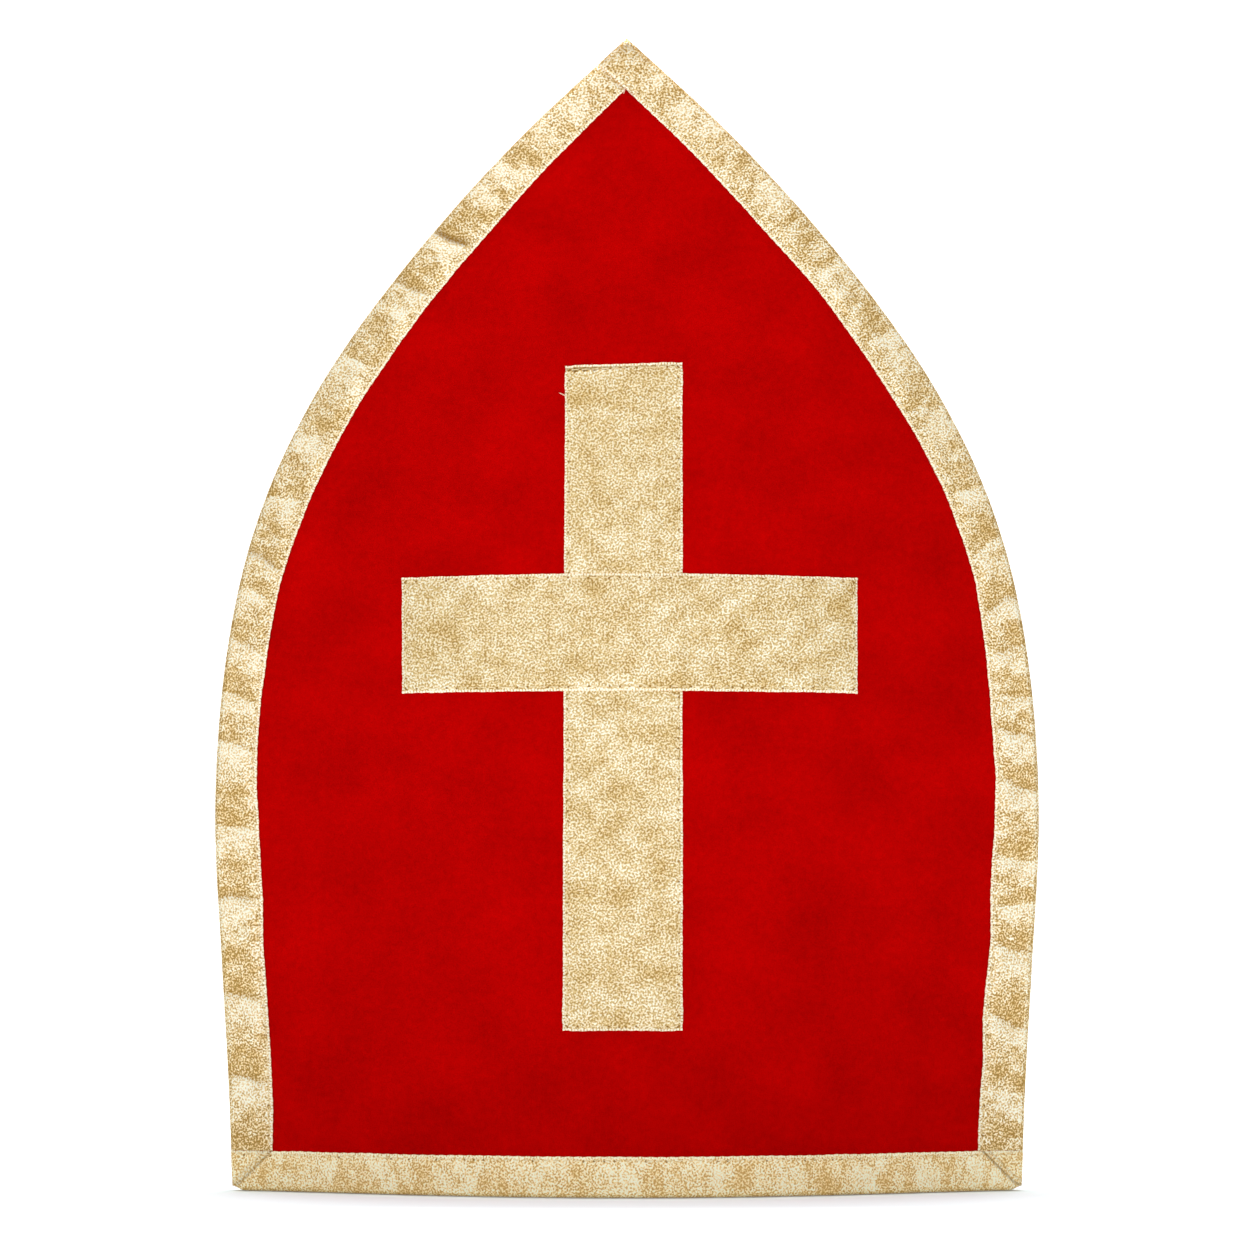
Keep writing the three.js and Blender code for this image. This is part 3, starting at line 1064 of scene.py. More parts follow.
@dataclass
class SideTape(FoldedTape):
    """Tape along one side, from the hem to the point. The right-hand one runs over the point to the far edge, and the
    left-hand one ends against it."""

    side: Side = Side.LEFT
    widths: tuple[tuple[float, float], ...] = LEFT_WIDTHS
    start_height: float = 14.15 * MM
    width: float = 16.8 * MM
    lapped_width: float = 12.7 * MM
    lap: float = 0.4 * MM
    point_centre: float = 389 * MM
    point_rings: tuple[tuple[float, float], ...] = ((6.5 * MM, 0.35), (8.1 * MM, 0.75), (9.5 * MM, 0.4))
    heights: Array = field(init=False)
    lengths: Array = field(init=False)

    def width_at(self, along: Array) -> Array:
        """The width of the outer leg, from its table by height, with a small scallop at each stitch."""
        places, widths = np.array(self.widths).T
        places = np.interp(places * MM, self.heights, self.lengths)
        wave = 0.09 * np.cos(2 * math.pi * along / self.stitch_pitch)
        wave = wave + 0.12 * crumple(along * 0, along, 7 * MM, self.seed + 2)
        return (np.interp(along, places, widths) + wave) * MM

    def edge_place(self, z: Array, from_crest: Array) -> tuple[Array, Array]:
        """The place on the right-hand side that lies so far in from the outline's point at a height."""
        form = self.form
        slope = form.outline_slope(z)
        length = np.hypot(1, slope)
        in_x, in_z = -1 / length, slope / length
        x = form.half_width_at(z)

        def stand(step: float) -> Array:
            """How far the panel without its folds stands out, so far in from the edge."""
            return plain.stand_out(x + in_x * step, z + in_z * step)

        plain = MitreForm(form.facing)
        middle, step = self.width / 2, SLOPE_STEP
        tilt = (stand(middle + step) - stand(middle - step)) / (2 * step)
        reach = from_crest / np.hypot(1, tilt)
        return x + in_x * reach, z + in_z * reach

    def past_end(self, z: Array, from_crest: Array) -> Array:
        """Rises through 0 where the tape ends."""
        form = self.form
        x, height = self.edge_place(z, from_crest)
        if self.side is Side.RIGHT:
            return -x - form.half_width_at(height)
        slope = form.outline_slope(np.array(form.height))
        inside_right = (slope * (height - form.height) + x) / np.hypot(1, slope)
        return self.lapped_width - inside_right

    def run(self, row: Array, from_crest: Array) -> tuple[Array, Array, Array]:
        """Follows the tape's line at a distance from its fold.

        Args:
            row: The share of the tape's length.
            from_crest: The distance from the fold's crest.

        Returns:
            The place across the panel and its height, and the tape's length.
        """
        distances = np.linspace(0, 20 * MM, 40)
        low, high = np.full_like(distances, -0.015), np.full_like(distances, 0.045)
        start = root_of(lambda z: self.edge_place(z, distances)[1] - self.start_height, low, high)
        top, beyond = np.full_like(distances, self.form.height / 2), np.full_like(distances, 0.415)
        end = root_of(lambda z: self.past_end(z, distances), top, beyond)
        middle = self.width / 2
        first, last = np.interp(middle, distances, start), np.interp(middle, distances, end)
        z_line = np.linspace(first, last, 800)
        x, z = self.edge_place(z_line, np.full_like(z_line, middle))
        points = self.form.point(x, z, 0.0)
        steps = np.linalg.norm(np.diff(points, axis=0), axis=1)
        length = np.concatenate([[0], np.cumsum(steps)])
        share = (np.interp(row * length[-1], length, z_line) - first) / (last - first)
        z_edge = np.interp(from_crest, distances, start) * (1 - share) + np.interp(from_crest, distances, end) * share
        x, z = self.edge_place(z_edge, from_crest)
        self.heights, self.lengths = points[:, 2], length
        return x, z, length[-1]

    def end(self, from_end: Array) -> Array:
        """Presses the tape down at the point: the left one to go under the right one, and the right one's legs
        together round the far edge."""
        if self.side is Side.LEFT:
            return 0.66 + 0.34 * smooth_step(from_end, 0.8 * MM, 3 * MM)
        return self.pressed(from_end, self.radius)

    def tip_folds(self, x: Array, z: Array) -> Array:
        """The painted shade of the curved creases where the right-hand tape is turned round the point, with a little
        darkening added over the whole tip.
        """
        if self.side is Side.LEFT:
            return np.zeros_like(x)
        away = np.hypot(x, z - self.point_centre)
        dark = sum(depth * np.exp(-(((away - size) / (0.5 * MM)) ** 2)) for size, depth in self.point_rings)
        return (dark + 0.15) * smooth_step(z, 389.5 * MM, 393 * MM)

    def place(self, share: Array, row: Array) -> Lay:
        """Lays the tape over its side of the panel."""
        if self.side is Side.LEFT:
            share = 1 - share
        length = self.run(row[:1], np.array([0.0]))[2]
        along = row * length
        from_crest, turn, from_edge, cloth = self.section(share, self.width_at(along))
        x, z, _ = self.run(row, from_crest)
        places = np.array([crease.place for crease in self.creases])
        centres = np.interp(places, self.heights, self.lengths)
        outer, shade = self.face(from_edge, from_crest, along, centres)
        shade = shade + self.tip_folds(x, z)
        lap = self.lap * smooth_step(along, length - 24 * MM, length - 15 * MM) if self.side is Side.RIGHT else 0
        height = np.where(turn > 0, outer + lap, self.radius)
        out = turn * height * self.end(length - along)
        points = self.form.point(self.side.value * x, z, out)
        seam = np.stack([from_edge, along], -1)
        # The crease mark is painted shade and the light mark painted highlight and shade, both laid into the tape's
        # colour.
        painted_light = np.where(turn > 0, self.painted_light(from_edge, from_crest, along, centres), 0.5)
        marks = {"crease": np.where(turn > 0, np.clip(shade, 0, 1), 0), "painted_light": painted_light}
        return Lay(points, np.stack([cloth, along], -1), seam, marks)

    def stitch_line(self) -> StitchLine:
        """The stitches, counted the way that the grid runs."""
        line = super().stitch_line()
        if self.side is Side.LEFT:
            line.share = 1 - line.share
        return line


@dataclass
class HemTape(FoldedTape):
    """Tape along the bottom, from one side seam to the other, mitred at its corners."""

    width: float = 14 * MM
    corner_run: float = 16 * MM
    groove_width: float = 0.4 * MM
    second_groove: float = 1.7 * MM
    corner_lift: float = 1.6 * MM

    def width_at(self, along: Array) -> Array:
        """The width of the outer leg, with a slight wave."""
        wave = 0.09 * np.cos(2 * math.pi * along / self.stitch_pitch)
        return self.width + (wave + 0.1 * crumple(along * 0, along, 9 * MM, self.seed + 2)) * MM

    def finish(self, finishes: Finishes) -> bpy.types.Material:
        """The hem's tape: the same cloth as the sides', painted lighter to make up for the less light that reaches
        it, painted light.
        """
        return finishes.hem

    def corner(self, from_end: Array, level: Array) -> tuple[Array, Array]:
        """The mitred corner: a groove on the diagonal, a fainter one beside it, and the side's part a little lower
        than the hem's.

        Args:
            from_end: The distance from the nearest end.
            level: The height above the floor.

        Returns:
            The height that it adds, and the painted shade in the grooves.
        """
        beside = (from_end * self.width - level * self.corner_run) / math.hypot(self.width, self.corner_run)
        near = 1 - smooth_step(from_end, self.corner_run, self.corner_run + 4 * MM)
        groove = 1.1 * np.exp(-((beside / self.groove_width) ** 2)) * near
        second = 0.45 * np.exp(-(((beside + self.second_groove) / self.groove_width) ** 2)) * near
        step = 0.16 * MM * (np.tanh(beside / (0.5 * MM)) - 1) * near
        return step - 0.38 * MM * groove - 0.2 * MM * second, groove + second

    def place(self, share: Array, row: Array) -> Lay:
        """Lays the tape along the bottom of the panel."""
        form = self.form
        line = np.linspace(-1, 1, 800)
        points = form.point(line * form.half_width_at(self.width / 2), self.width / 2, 0.0)
        steps = np.linalg.norm(np.diff(points[:, :2], axis=0), axis=1)
        length = np.concatenate([[0], np.cumsum(steps)])
        along = row * length[-1]
        from_crest, turn, from_edge, cloth = self.section(share, self.width_at(along))
        x = np.interp(along, length, line) * form.half_width_at(from_crest)
        middle = length[-1] / 2
        centres = middle + np.array([crease.place for crease in self.creases])
        outer, shade = self.face(from_edge, from_crest, along, centres)
        from_end = np.minimum(along, length[-1] - along)
        lower, groove = self.corner(from_end, from_crest)
        height = np.where(turn > 0, np.maximum(outer + lower, 1.4 * MM), self.radius)
        out = turn * height * self.pressed(from_end, self.radius)
        low_corner = (1 - smooth_step(from_end, 0, 4.5 * MM)) * (1 - smooth_step(from_crest, 0, 6 * MM))
        lift = self.corner_lift * low_corner
        points = form.point(x, from_crest, out, from_crest + lift)
        # The crease mark, grooves included, is painted shade and the light mark painted highlight and shade, both
        # laid into the hem's colour.
        painted_light = np.where(turn > 0, self.painted_light(from_edge, from_crest, along, centres), 0.5)
        marks = {"crease": np.where(turn > 0, np.clip(shade + 0.9 * groove, 0, 1), 0), "painted_light": painted_light}
        return Lay(points, np.stack([cloth, along], -1), np.stack([from_edge, along], -1), marks)


# ---- The cross


@dataclass
class ClothStrip:
    """A strip of the gold cloth, its edges turned under and sewn down on the front panel."""

    form: MitreForm
    name: str
    node: str
    cells: tuple[int, int]
    flat: tuple[float, float]
    lower_left: tuple[float, float]
    lower_right: tuple[float, float]
    upper_left: tuple[float, float]
    upper_right: tuple[float, float]
    seed: int
    rests_on: tuple[str, ...] = ("front_velvet",)
    crowd: tuple[float, float] = (0.6, 0.85)
    cloth_wall: float = 0.5 * MM
    edge_face: float = 1.6 * MM
    pillow: float = 0.4 * MM
    rise_length: float = 2.4 * MM
    crumples: tuple[tuple[float, float], ...] = ((9 * MM, 0.16 * MM), (3.1 * MM, 0.07 * MM))
    edge_drop: float = 0.2 * MM
    stitch_inset: float = 1.5 * MM
    stitch_pitch: float = 3.5 * MM

    def over(self, x: Array, z: Array) -> Array:
        """How far the strip is lifted over what lies under it."""
        return np.zeros_like(x)

    def turned_end(self, across: Array, from_top: Array, run: Array) -> tuple[Array, Array]:
        """The height that the upper end's turned hem adds, and the painted shade that goes with it."""
        return np.zeros_like(across), np.zeros_like(across)

    def place(self, across: Array, along: Array) -> Lay:
        """Lays the strip on the panel."""
        corners = (self.lower_left, self.lower_right, self.upper_left, self.upper_right)
        low_left, low_right, up_left, up_right = (np.array(corner) * MM for corner in corners)
        a, b = across[:, None], along[:, None]
        flat = (1 - b) * ((1 - a) * low_left + a * low_right) + b * ((1 - a) * up_left + a * up_right)
        width = np.linalg.norm(low_right - low_left)
        length = np.linalg.norm(up_left - low_left)
        sides = np.stack([across * width, (1 - across) * width, along * length, (1 - along) * length])
        nearest = sides.argmin(0)
        from_edge = sides.min(0)
        run = np.where(nearest < 2, sides[2:].min(0), sides[:2].min(0))
        wave = 0.07 * np.cos(2 * math.pi * run / self.stitch_pitch) + 0.12 * crumple(run, run * 0, 6 * MM, self.seed)
        push = wave * MM * np.exp(-from_edge / (1.2 * MM))
        outward = np.array([[-1, 0], [1, 0], [0, -1], [0, 1]])[nearest]
        flat = flat + outward * push[:, None]
        x, z = flat.T
        rise = 1 - np.exp(-from_edge / self.rise_length)
        small = sum(high * crumple(x, z, size, self.seed + 1 + i) for i, (size, high) in enumerate(self.crumples))
        height = self.edge_face + (self.pillow + small) * rise
        stitches = 0.5 + 0.5 * np.cos(2 * math.pi * run / self.stitch_pitch)
        line = np.exp(-(((from_edge - self.stitch_inset) / (0.6 * MM)) ** 2))
        height = height - line * (0.05 + 0.07 * stitches) * MM
        end_lift, shade = self.turned_end(across, (1 - along) * length, run)
        height = np.maximum(height + end_lift, self.cloth_wall + 0.98 * MM) + self.over(x, z)
        height = height - self.edge_drop * np.exp(-((from_edge / (0.4 * MM)) ** 2))
        points = self.form.point(x, z, height)
        seam = np.stack([from_edge, run], -1)
        # Painted light: lighter where the broad crumples face up and darker where they face down; the crease mark is
        # the turned hem's painted shade.
        broad = self.crumples[0][0]
        slope = crumple(x, z + 1 * MM, broad, self.seed + 1) - crumple(x, z - 1 * MM, broad, self.seed + 1)
        return Lay(points, flat, seam, {"crease": shade, "painted_light": np.clip(0.5 - 0.4 * slope, 0, 1)})

    def stitch_line(self) -> StitchLine:
        """The stitches round the strip's four sides, counted from its corners to the middle of each side."""
        width = abs(self.lower_right[0] - self.lower_left[0]) * MM
        length = abs(self.upper_left[1] - self.lower_left[1]) * MM
        inset, pitch = self.stitch_inset, self.stitch_pitch

        def shares(size: float) -> Array:
            """The stitches' places along a side, as shares of it."""
            half = np.arange(1, int(size / 2 / pitch) + 1) * pitch / size
            return np.concatenate([half, 1 - half])

        ups, overs = shares(length), shares(width)
        side, end = inset / width, inset / length
        share = np.concatenate([ups * 0 + side, ups * 0 + 1 - side, overs, overs])
        row = np.concatenate([ups, ups, overs * 0 + end, overs * 0 + 1 - end])
        return StitchLine(share, row, np.arange(len(row)) >= 2 * len(ups))

    def build(self, finishes: Finishes, thread: "Stitches") -> bpy.types.Object:
        """Args:
            finishes: The materials.
            thread: The stitch that is copied round it.

        Returns:
            The strip.
        """
        strip = woven_sheet(self.name, self.cells, self.place, self.cloth_wall, self.crowd)
        declare(strip, finishes.cloth, [self.node])
        sewing = thread.along(f"{self.name}_stitches", self.place, self.stitch_line())
        declare(sewing, finishes.thread)
        return strip


@dataclass
class CrossUpright(ClothStrip):
    """The long strip, whose upper end shows the line of its turned hem."""

    groove_depth: float = 0.4 * MM
    roll_width: float = 0.55 * MM

    def turned_end(self, across: Array, from_top: Array, run: Array) -> tuple[Array, Array]:
        """A groove below the upper edge, widest at its left end, with teeth of cloth where the thread draws it up.
        The groove and the dips between the teeth get painted shade.
        """
        taper = 1 - smooth_step(across, 0.05, 0.75)
        tooth = np.abs((run / self.stitch_pitch) % 1 - 0.5) * 2
        bottom = (0.95 + 0.7 * taper + (0.35 + 0.5 * taper) * tooth) * MM
        groove = smooth_step(from_top, self.roll_width, self.roll_width + 0.3 * MM)
        groove = groove * (1 - smooth_step(from_top, bottom, bottom + 0.3 * MM))
        dots = groove * smooth_step(tooth, 0.55, 0.95)
        return -self.groove_depth * groove, groove * (0.15 + 0.55 * taper) + 0.5 * dots


@dataclass
class CrossBar(ClothStrip):
    """The short strip, which steps up over the long one."""

    under: tuple[float, float] = (-0.0213, 0.0189)
    step: float = 0.62 * MM
    slope: float = 1.6 * MM

    def over(self, x: Array, z: Array) -> Array:
        """Lifts the bar over the upright and lets it fall again on both sides."""
        left, right = self.under
        up = smooth_step(x, left - self.slope, left + 0.2 * MM)
        down = smooth_step(x, right - 0.2 * MM, right + self.slope)
        return self.step * (up - down)


# ---- Sewing


@dataclass
class Stitches:
    """One stitch of thread, modelled once and copied along each seam."""

    length: float = 2.7 * MM
    radius: float = 0.17 * MM
    proud: float = 0.03 * MM

    def model(self) -> bpy.types.Object:
        """Models the stitch along X: a short thread, bowed up, whose ends dip into the cloth."""
        deselect_all()
        rings = ((-0.5, 0.35, -0.9), (-0.34, 1.0, -0.1), (0.0, 1.1, 0.35), (0.34, 1.0, -0.1), (0.5, 0.35, -0.9))
        bpy.ops.mesh.primitive_circle_add(
            vertices=6, radius=self.radius, fill_type="NGON", rotation=(0, math.pi / 2, 0)
        )
        stitch = bpy.context.object
        bpy.ops.object.transform_apply(location=False)
        bpy.ops.object.mode_set(mode="EDIT")
        bpy.ops.mesh.select_all(action="SELECT")
        place, size, rise = rings[0]
        bpy.ops.transform.translate(value=(place * self.length, 0, rise * self.radius))
        bpy.ops.transform.resize(value=(1, size, size), center_override=(place * self.length, 0, rise * self.radius))
        for next_place, next_size, next_rise in rings[1:]:
            move = ((next_place - place) * self.length, 0, (next_rise - rise) * self.radius)
            bpy.ops.mesh.extrude_region_move(TRANSFORM_OT_translate={"value": move})
            centre = (next_place * self.length, 0, next_rise * self.radius)
            grow = next_size / size
            bpy.ops.transform.resize(value=(1, grow, grow), center_override=centre)
            place, size, rise = next_place, next_size, next_rise
        bpy.ops.mesh.select_all(action="SELECT")
        bpy.ops.mesh.normals_make_consistent(inside=False)
        bpy.ops.object.mode_set(mode="OBJECT")
        bpy.ops.object.shade_smooth()
        return stitch

    def copies(self, name: str, places: list[Matrix]) -> bpy.types.Object:
        """Copies the stitch to each place and joins the copies.

        Args:
            name: The name of the joined piece.
            places: Where each copy goes.

        Returns:
            The joined piece, with its place in its mesh.
        """
        stitch = self.model()
        for place in places:
            copy = stitch.copy()
            copy.data = stitch.data.copy()
            bpy.context.collection.objects.link(copy)
            copy.matrix_world = place
            copy.select_set(True)
            bpy.context.view_layer.objects.active = copy
        stitch.select_set(False)
        bpy.data.objects.remove(stitch)
        bpy.ops.object.join()
        joined = bpy.context.object
        bpy.ops.object.transform_apply()
        joined.name = joined.data.name = name
        return joined

    def along(
        self, name: str, lay: Callable[[Array, Array], Lay], line: StitchLine
    ) -> bpy.types.Object:
        """Sews a line of stitches into a laid cloth.

        Args:
            name: The name of the sewing.
            lay: The cloth's lay.
            line: Where its stitches go.

        Returns:
            The sewing.
        """
        share, row = line.share, line.row
        step = 0.0008
        point = lay(share, row).points
        ahead = lay(share, np.clip(row + step, 0, 1)).points - lay(share, np.clip(row - step, 0, 1)).points
        beside = lay(np.clip(share + step, 0, 1), row).points - lay(np.clip(share - step, 0, 1), row).points
        normal = np.cross(beside, ahead)
        found = []
        for here, run, up in zip(point, np.where(line.crosswise[:, None], beside, ahead), normal):
            up = Vector(up).normalized()
            side = up.cross(Vector(run)).normalized()
            turn = Matrix((side.cross(up), side, up)).transposed().to_4x4()
            found.append(Matrix.Translation(Vector(here) + self.proud * up) @ turn)
        return self.copies(name, found)


@dataclass
class SideSeams:
    """The stitches that join the two panels' tapes at the sides, from the hem to where the panels part."""

    form: MitreForm
    name: str = "side_seam_stitches"
    low: float = 5 * MM
    pitch: float = 6 * MM
    inset: float = 0.3 * MM
    slant: float = 0.3
    growth: tuple[float, float, float] = (1.3, 1.2, 1.2)

    def build(self, finishes: Finishes, thread: Stitches) -> bpy.types.Object:
        places = []
        heights = np.arange(self.low, self.form.seam_height, self.pitch)
        for side in Side:
            for z, half_width in zip(heights, self.form.half_width_at(heights)):
                along = Vector((0, 1, self.slant)).normalized()
                up = Vector((side.value, 0, 0))
                across = up.cross(along).normalized()
                turn = Matrix((along, across, up)).transposed().to_4x4()
                spot = Vector((side.value * (half_width - self.inset), 0, z))
                places.append(Matrix.Translation(spot) @ turn @ Matrix.Diagonal((*self.growth, 1)))
        seams = thread.copies(self.name, places)
        declare(seams, finishes.thread)
        return seams


@dataclass
class SeamWelt:
    """The narrow welt of gold tape that is sewn in between the two panels' tapes at a side, and closes the seam."""

    form: MitreForm
    side: Side
    low: float = 1.5 * MM
    width: float = 1.9 * MM
    wall: float = 1.2 * MM
    inset: float = 0.8 * MM
    bow: float = 0.3 * MM

    def place(self, across: Array, along: Array) -> Lay:
        """Lays the welt a little inside the folds of the tapes, bowed outwards along its middle."""
        height = self.low + along * (self.form.seam_height - self.low)
        share = 2 * across - 1
        out = self.form.half_width_at(height) - self.inset - self.bow * share**2
        beside = self.side.value * share * self.width / 2
        points = np.stack([self.side.value * out, beside, height], -1)
        far = np.full_like(across, 5 * MM)
        # The welt's light mark is set below level, painted shade all over, and its crease mark adds painted shade
        # towards both its edges where it turns into the seam.
        marks = {"crease": 0.45 * share**2, "painted_light": np.full_like(across, 0.35)}
        return Lay(points, np.stack([beside, height], -1), np.stack([far, height], -1), marks)

    def build(self, finishes: Finishes) -> None:
        welt = woven_sheet(f"{self.side.name.lower()}_seam_welt", (6, 90), self.place, self.wall)
        declare(welt, finishes.tape)


@dataclass
class ThreadEnds:
    """Short pale ends of thread that stick out by the cross and at the point. Each is a place across the panel and
    its height, how far it stands out, and how far it is turned in the face, in degrees."""

    form: MitreForm
    name: str = "thread_ends"
    ends: tuple[tuple[float, float, float, float], ...] = (
        (-22.0, 275.9, 1.5, 25), (-0.8, 381.6, 1.9, 105), (1.3, 380.6, 1.9, 40),
    )

    def build(self, finishes: Finishes, thread: Stitches) -> bpy.types.Object:
        places = []
        for x, z, out, turned in self.ends:
            spot, above, beside = (
                Vector(self.form.point((x + dx) * MM, (z + dz) * MM, out * MM)) for dx, dz in ((0, 0), (0, 1), (1, 0))
            )
            up = (beside - spot).cross(above - spot).normalized()
            along = Matrix.Rotation(-math.radians(turned), 3, up) @ (beside - spot).normalized()
            turn = Matrix((along, up.cross(along), up)).transposed().to_4x4()
            places.append(Matrix.Translation(spot) @ turn)
        ends = thread.copies(self.name, places)
        declare(ends, finishes.loose_thread)
        return ends


# ---- Studio


@dataclass(frozen=True)
class SoftLight:
    """A square soft light: where it stands, its width, its power in watts, and the point that it faces."""

    name: str
    place: tuple[float, float, float]
    width: float
    power: float
    aim: tuple[float, float, float]

    def build(self) -> None:
        """Adds the light."""
        data = bpy.data.lights.new(self.name, "AREA")
        data.shape = "RECTANGLE"
        data.size = data.size_y = self.width
        data.energy = self.power
        lamp = bpy.data.objects.new(self.name, data)
        bpy.context.scene.collection.objects.link(lamp)
        lamp.location = self.place
        lamp.rotation_euler = facing_turn(self.place, self.aim)


def facing_turn(place: tuple[float, float, float], aim: tuple[float, float, float]) -> Euler:
    """The turn that makes a light or a camera at a place face a point."""
    return (Vector(aim) - Vector(place)).to_track_quat("-Z", "Y").to_euler()


@dataclass
class Studio:
    """A pale floor that sweeps up behind the mitre, soft lights, and the camera."""

    focal_length: float = 137.73
    eye: tuple[float, float, float] = (0.0, -1.7, 0.09)
    target: tuple[float, float, float] = (0.0, 0.0, 0.19877)
    clip: tuple[float, float] = (0.05, 30)
    floor_width: float = 8
    floor_centre: tuple[float, float, float] = (0, -1, -0.0002)
    sweep_height: float = 5
    sweep_radius: float = 1.2
    paper: tuple[float, float, float, float] = (0.80, 0.87, 0.89, 1)
    glow_least: float = 0.04
    front_glow: tuple[float, float, float] = (-0.18, -0.09, 0.55)
    rear_glow: tuple[float, float, float] = (0.1, 0.9, 0.8)
    air: float = 0.34
    lights: tuple[SoftLight, ...] = (
        SoftLight("key softbox", (-0.8, -1.5, 1.5), 0.9, 9, (0, 0, 0.30)),
        SoftLight("fill softbox", (1.2, -1.8, 0.9), 1.2, 4.6, (0, 0, 0.28)),
        SoftLight("top softbox", (0, 0.12, 1.5), 0.9, 24, (0, 0, 0)),
    )

    def select_far_edge(self, floor: bpy.types.Object) -> None:
        """Selects the edge between the floor and its sweep."""
        bpy.ops.object.mode_set(mode="OBJECT")
        far = self.floor_centre[1] + self.floor_width / 2 - 0.1
        places = [vertex.co for vertex in floor.data.vertices]
        for edge in floor.data.edges:
            edge.select = all(places[i].y > far and places[i].z < 1 for i in edge.vertices)
        bpy.ops.object.mode_set(mode="EDIT")

    def floor(self) -> None:
        """Makes the floor and its sweep."""
        deselect_all()
        bpy.ops.mesh.primitive_plane_add(size=self.floor_width, location=self.floor_centre)
        floor = bpy.context.object
        floor.name = "studio_floor"
        bpy.ops.object.transform_apply()
        bpy.ops.object.mode_set(mode="EDIT")
        bpy.ops.mesh.select_mode(type="EDGE")
        bpy.ops.mesh.select_all(action="DESELECT")
        self.select_far_edge(floor)
        bpy.ops.mesh.extrude_region_move(TRANSFORM_OT_translate={"value": (0, 0, self.sweep_height)})
        self.select_far_edge(floor)
        bpy.ops.mesh.bevel(offset=self.sweep_radius, segments=12, affect="EDGES")
        bpy.ops.object.mode_set(mode="OBJECT")
        bpy.ops.object.shade_smooth()
        floor.data.materials.append(self.paper_material())

    def paper_material(self) -> bpy.types.Material:
        """The floor's paper, which glows a little in front of the mitre and more behind it."""
        material, board = new_material("studio paper")
        depth = board.add("SeparateXYZ", {0: board.add("TexCoord").outputs["Object"]}).outputs["Y"]
        near, middle, front = self.front_glow
        start, end, rear = self.rear_glow
        before = board.math("MULTIPLY_ADD", board.rest(board.between(depth, near, middle)), front, self.glow_least)
        board.surface(
            {
                "Base Color": self.paper,
                "Roughness": 0.9,
                "Specular IOR Level": 0.0,
                "Emission Color": (1.0, 1.0, 1.0, 1),
                "Emission Strength": board.math("MULTIPLY_ADD", board.between(depth, start, end), rear, before),
            }
        )
        return material

    def build(self) -> None:
        """Sets up the floor, the lights, the world, the camera and how light is turned into colour."""
        self.floor()
        for light in self.lights:
            light.build()
        world = bpy.data.worlds.new("studio air")
        world.use_nodes = True
        board = NodeBoard(world.node_tree)
        sky = board.add("Background", {"Color": (1.0, 1.0, 1.0, 1), "Strength": self.air})
        board.add("OutputWorld", {"Surface": sky.outputs[0]})
        scene = bpy.context.scene
        scene.world = world
        scene.view_settings.view_transform = "Standard"
        data = bpy.data.cameras.new("camera")
        data.sensor_fit = "HORIZONTAL"
        data.sensor_width = 36
        data.lens = self.focal_length
        data.clip_start, data.clip_end = self.clip
        camera = bpy.data.objects.new("camera", data)
        scene.collection.objects.link(camera)
        camera.location = self.eye
        camera.rotation_euler = facing_turn(self.eye, self.target)
        scene.camera = camera


@dataclass(frozen=True)
class PanelPlan:
    """How finely a panel's cloth is modelled, and the seeds of its left, right and hem tapes."""

    word: str
    velvet_cells: tuple[int, int]
    side_rows: int
    hem_rows: int
    columns: tuple[int, int, int]
    seeds: tuple[int, int, int]


FRONT_PLAN = PanelPlan("front", (130, 190), 570, 400, (22, 8, 10), (11, 17, 23))
BACK_PLAN = PanelPlan("back", (72, 110), 230, 160, (10, 8, 8), (31, 37, 43))


def build_velvet(form: MitreForm, plan: PanelPlan, finishes: Finishes) -> bpy.types.Object:
    """Builds one panel's velvet."""
    return VelvetPanel(form, f"{plan.word}_velvet", f"{plan.word}_panel", plan.velvet_cells).build(finishes)


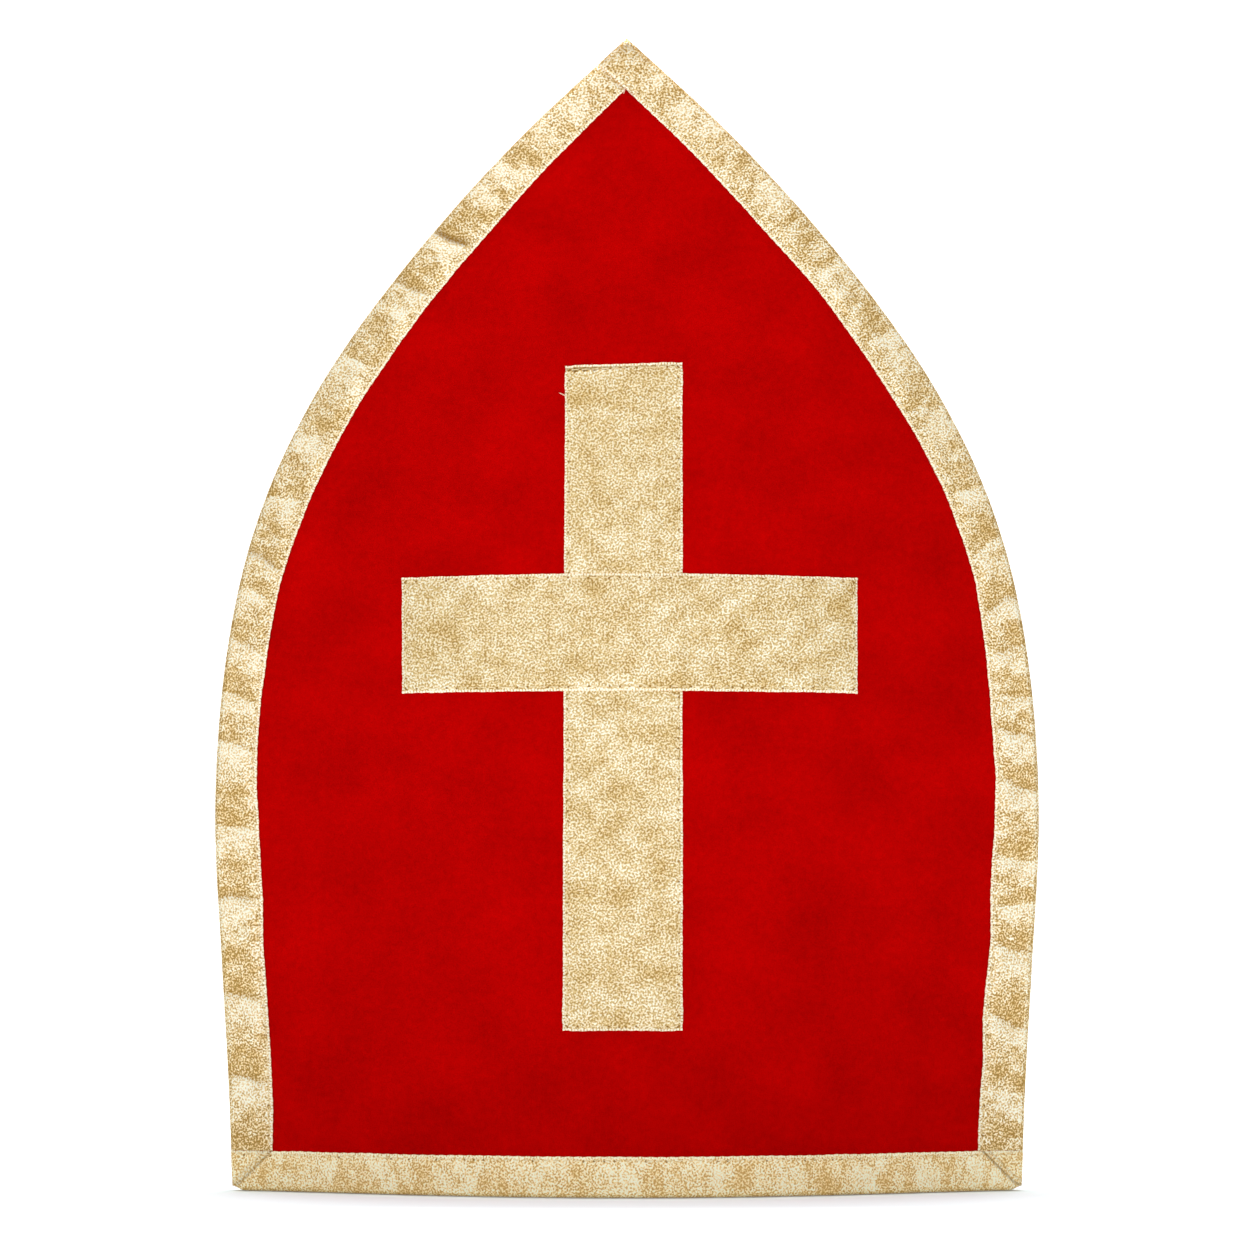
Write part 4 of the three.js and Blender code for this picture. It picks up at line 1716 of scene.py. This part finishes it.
def build_tapes(form: MitreForm, plan: PanelPlan, finishes: Finishes, thread: Stitches) -> None:
    """Builds one panel's three tapes.

    Args:
        form: The panel's form.
        plan: Its plan.
        finishes: The finishes.
        thread: The stitches.
    """
    left_seed, right_seed, hem_seed = plan.seeds
    left = SideTape(
        form, f"{plan.word}_left_tape", f"{plan.word}_left_binding", LEFT_CREASES, left_seed,
        plan.side_rows, plan.columns, side=Side.LEFT,
    )
    right = SideTape(
        form, f"{plan.word}_right_tape", f"{plan.word}_right_binding", RIGHT_CREASES, right_seed,
        plan.side_rows, plan.columns, side=Side.RIGHT, widths=RIGHT_WIDTHS,
    )
    hem = HemTape(
        form, f"{plan.word}_hem_tape", f"{plan.word}_hem_binding", HEM_CREASES, hem_seed,
        plan.hem_rows, plan.columns, flat=(0.033, 0.300), back_width=14 * MM,
    )
    for tape in (left, right, hem):
        tape.build(finishes, thread)


def build_cross(form: MitreForm, finishes: Finishes, thread: Stitches) -> None:
    """Builds the cross's two strips, the long one first. Their corners are in millimetres."""
    CrossUpright(
        form, "upright_strip", "cross_upright", cells=(54, 306), flat=(0.0402, 0.2296),
        lower_left=(-21.9, 56.9), lower_right=(18.9, 56.9), upper_left=(-21.2, 285.8), upper_right=(19.0, 287.0),
        seed=51,
    ).build(finishes, thread)
    CrossBar(
        form, "bar_strip", "cross_bar", cells=(210, 54), flat=(0.0404, 0.1576),
        lower_left=(-77.6, 173.4), lower_right=(79.6, 173.4), upper_left=(-77.9, 213.8), upper_right=(79.7, 213.8),
        seed=61, rests_on=("front_velvet", "upright_strip"), crowd=(0.85, 0.6),
    ).build(finishes, thread)


def main() -> None:
    """Builds the mitre's pieces in order, and the studio round them."""
    logging.basicConfig(level=logging.INFO, format="%(name)s %(message)s")
    finishes = Finishes.build()
    front = MitreForm(Facing.FRONT, FRONT_FOLDS)
    back = MitreForm(Facing.BACK)
    front_velvet = build_velvet(front, FRONT_PLAN, finishes)
    back_velvet = build_velvet(back, BACK_PLAN, finishes)
    thread = Stitches()
    build_tapes(front, FRONT_PLAN, finishes, thread)
    build_tapes(back, BACK_PLAN, finishes, thread)
    build_cross(front, finishes, thread)
    SideSeams(back).build(finishes, thread)
    for side in Side:
        SeamWelt(back, side).build(finishes)
    ThreadEnds(front).build(finishes, thread)
    Studio().build()


if __name__ == "__main__":
    main()
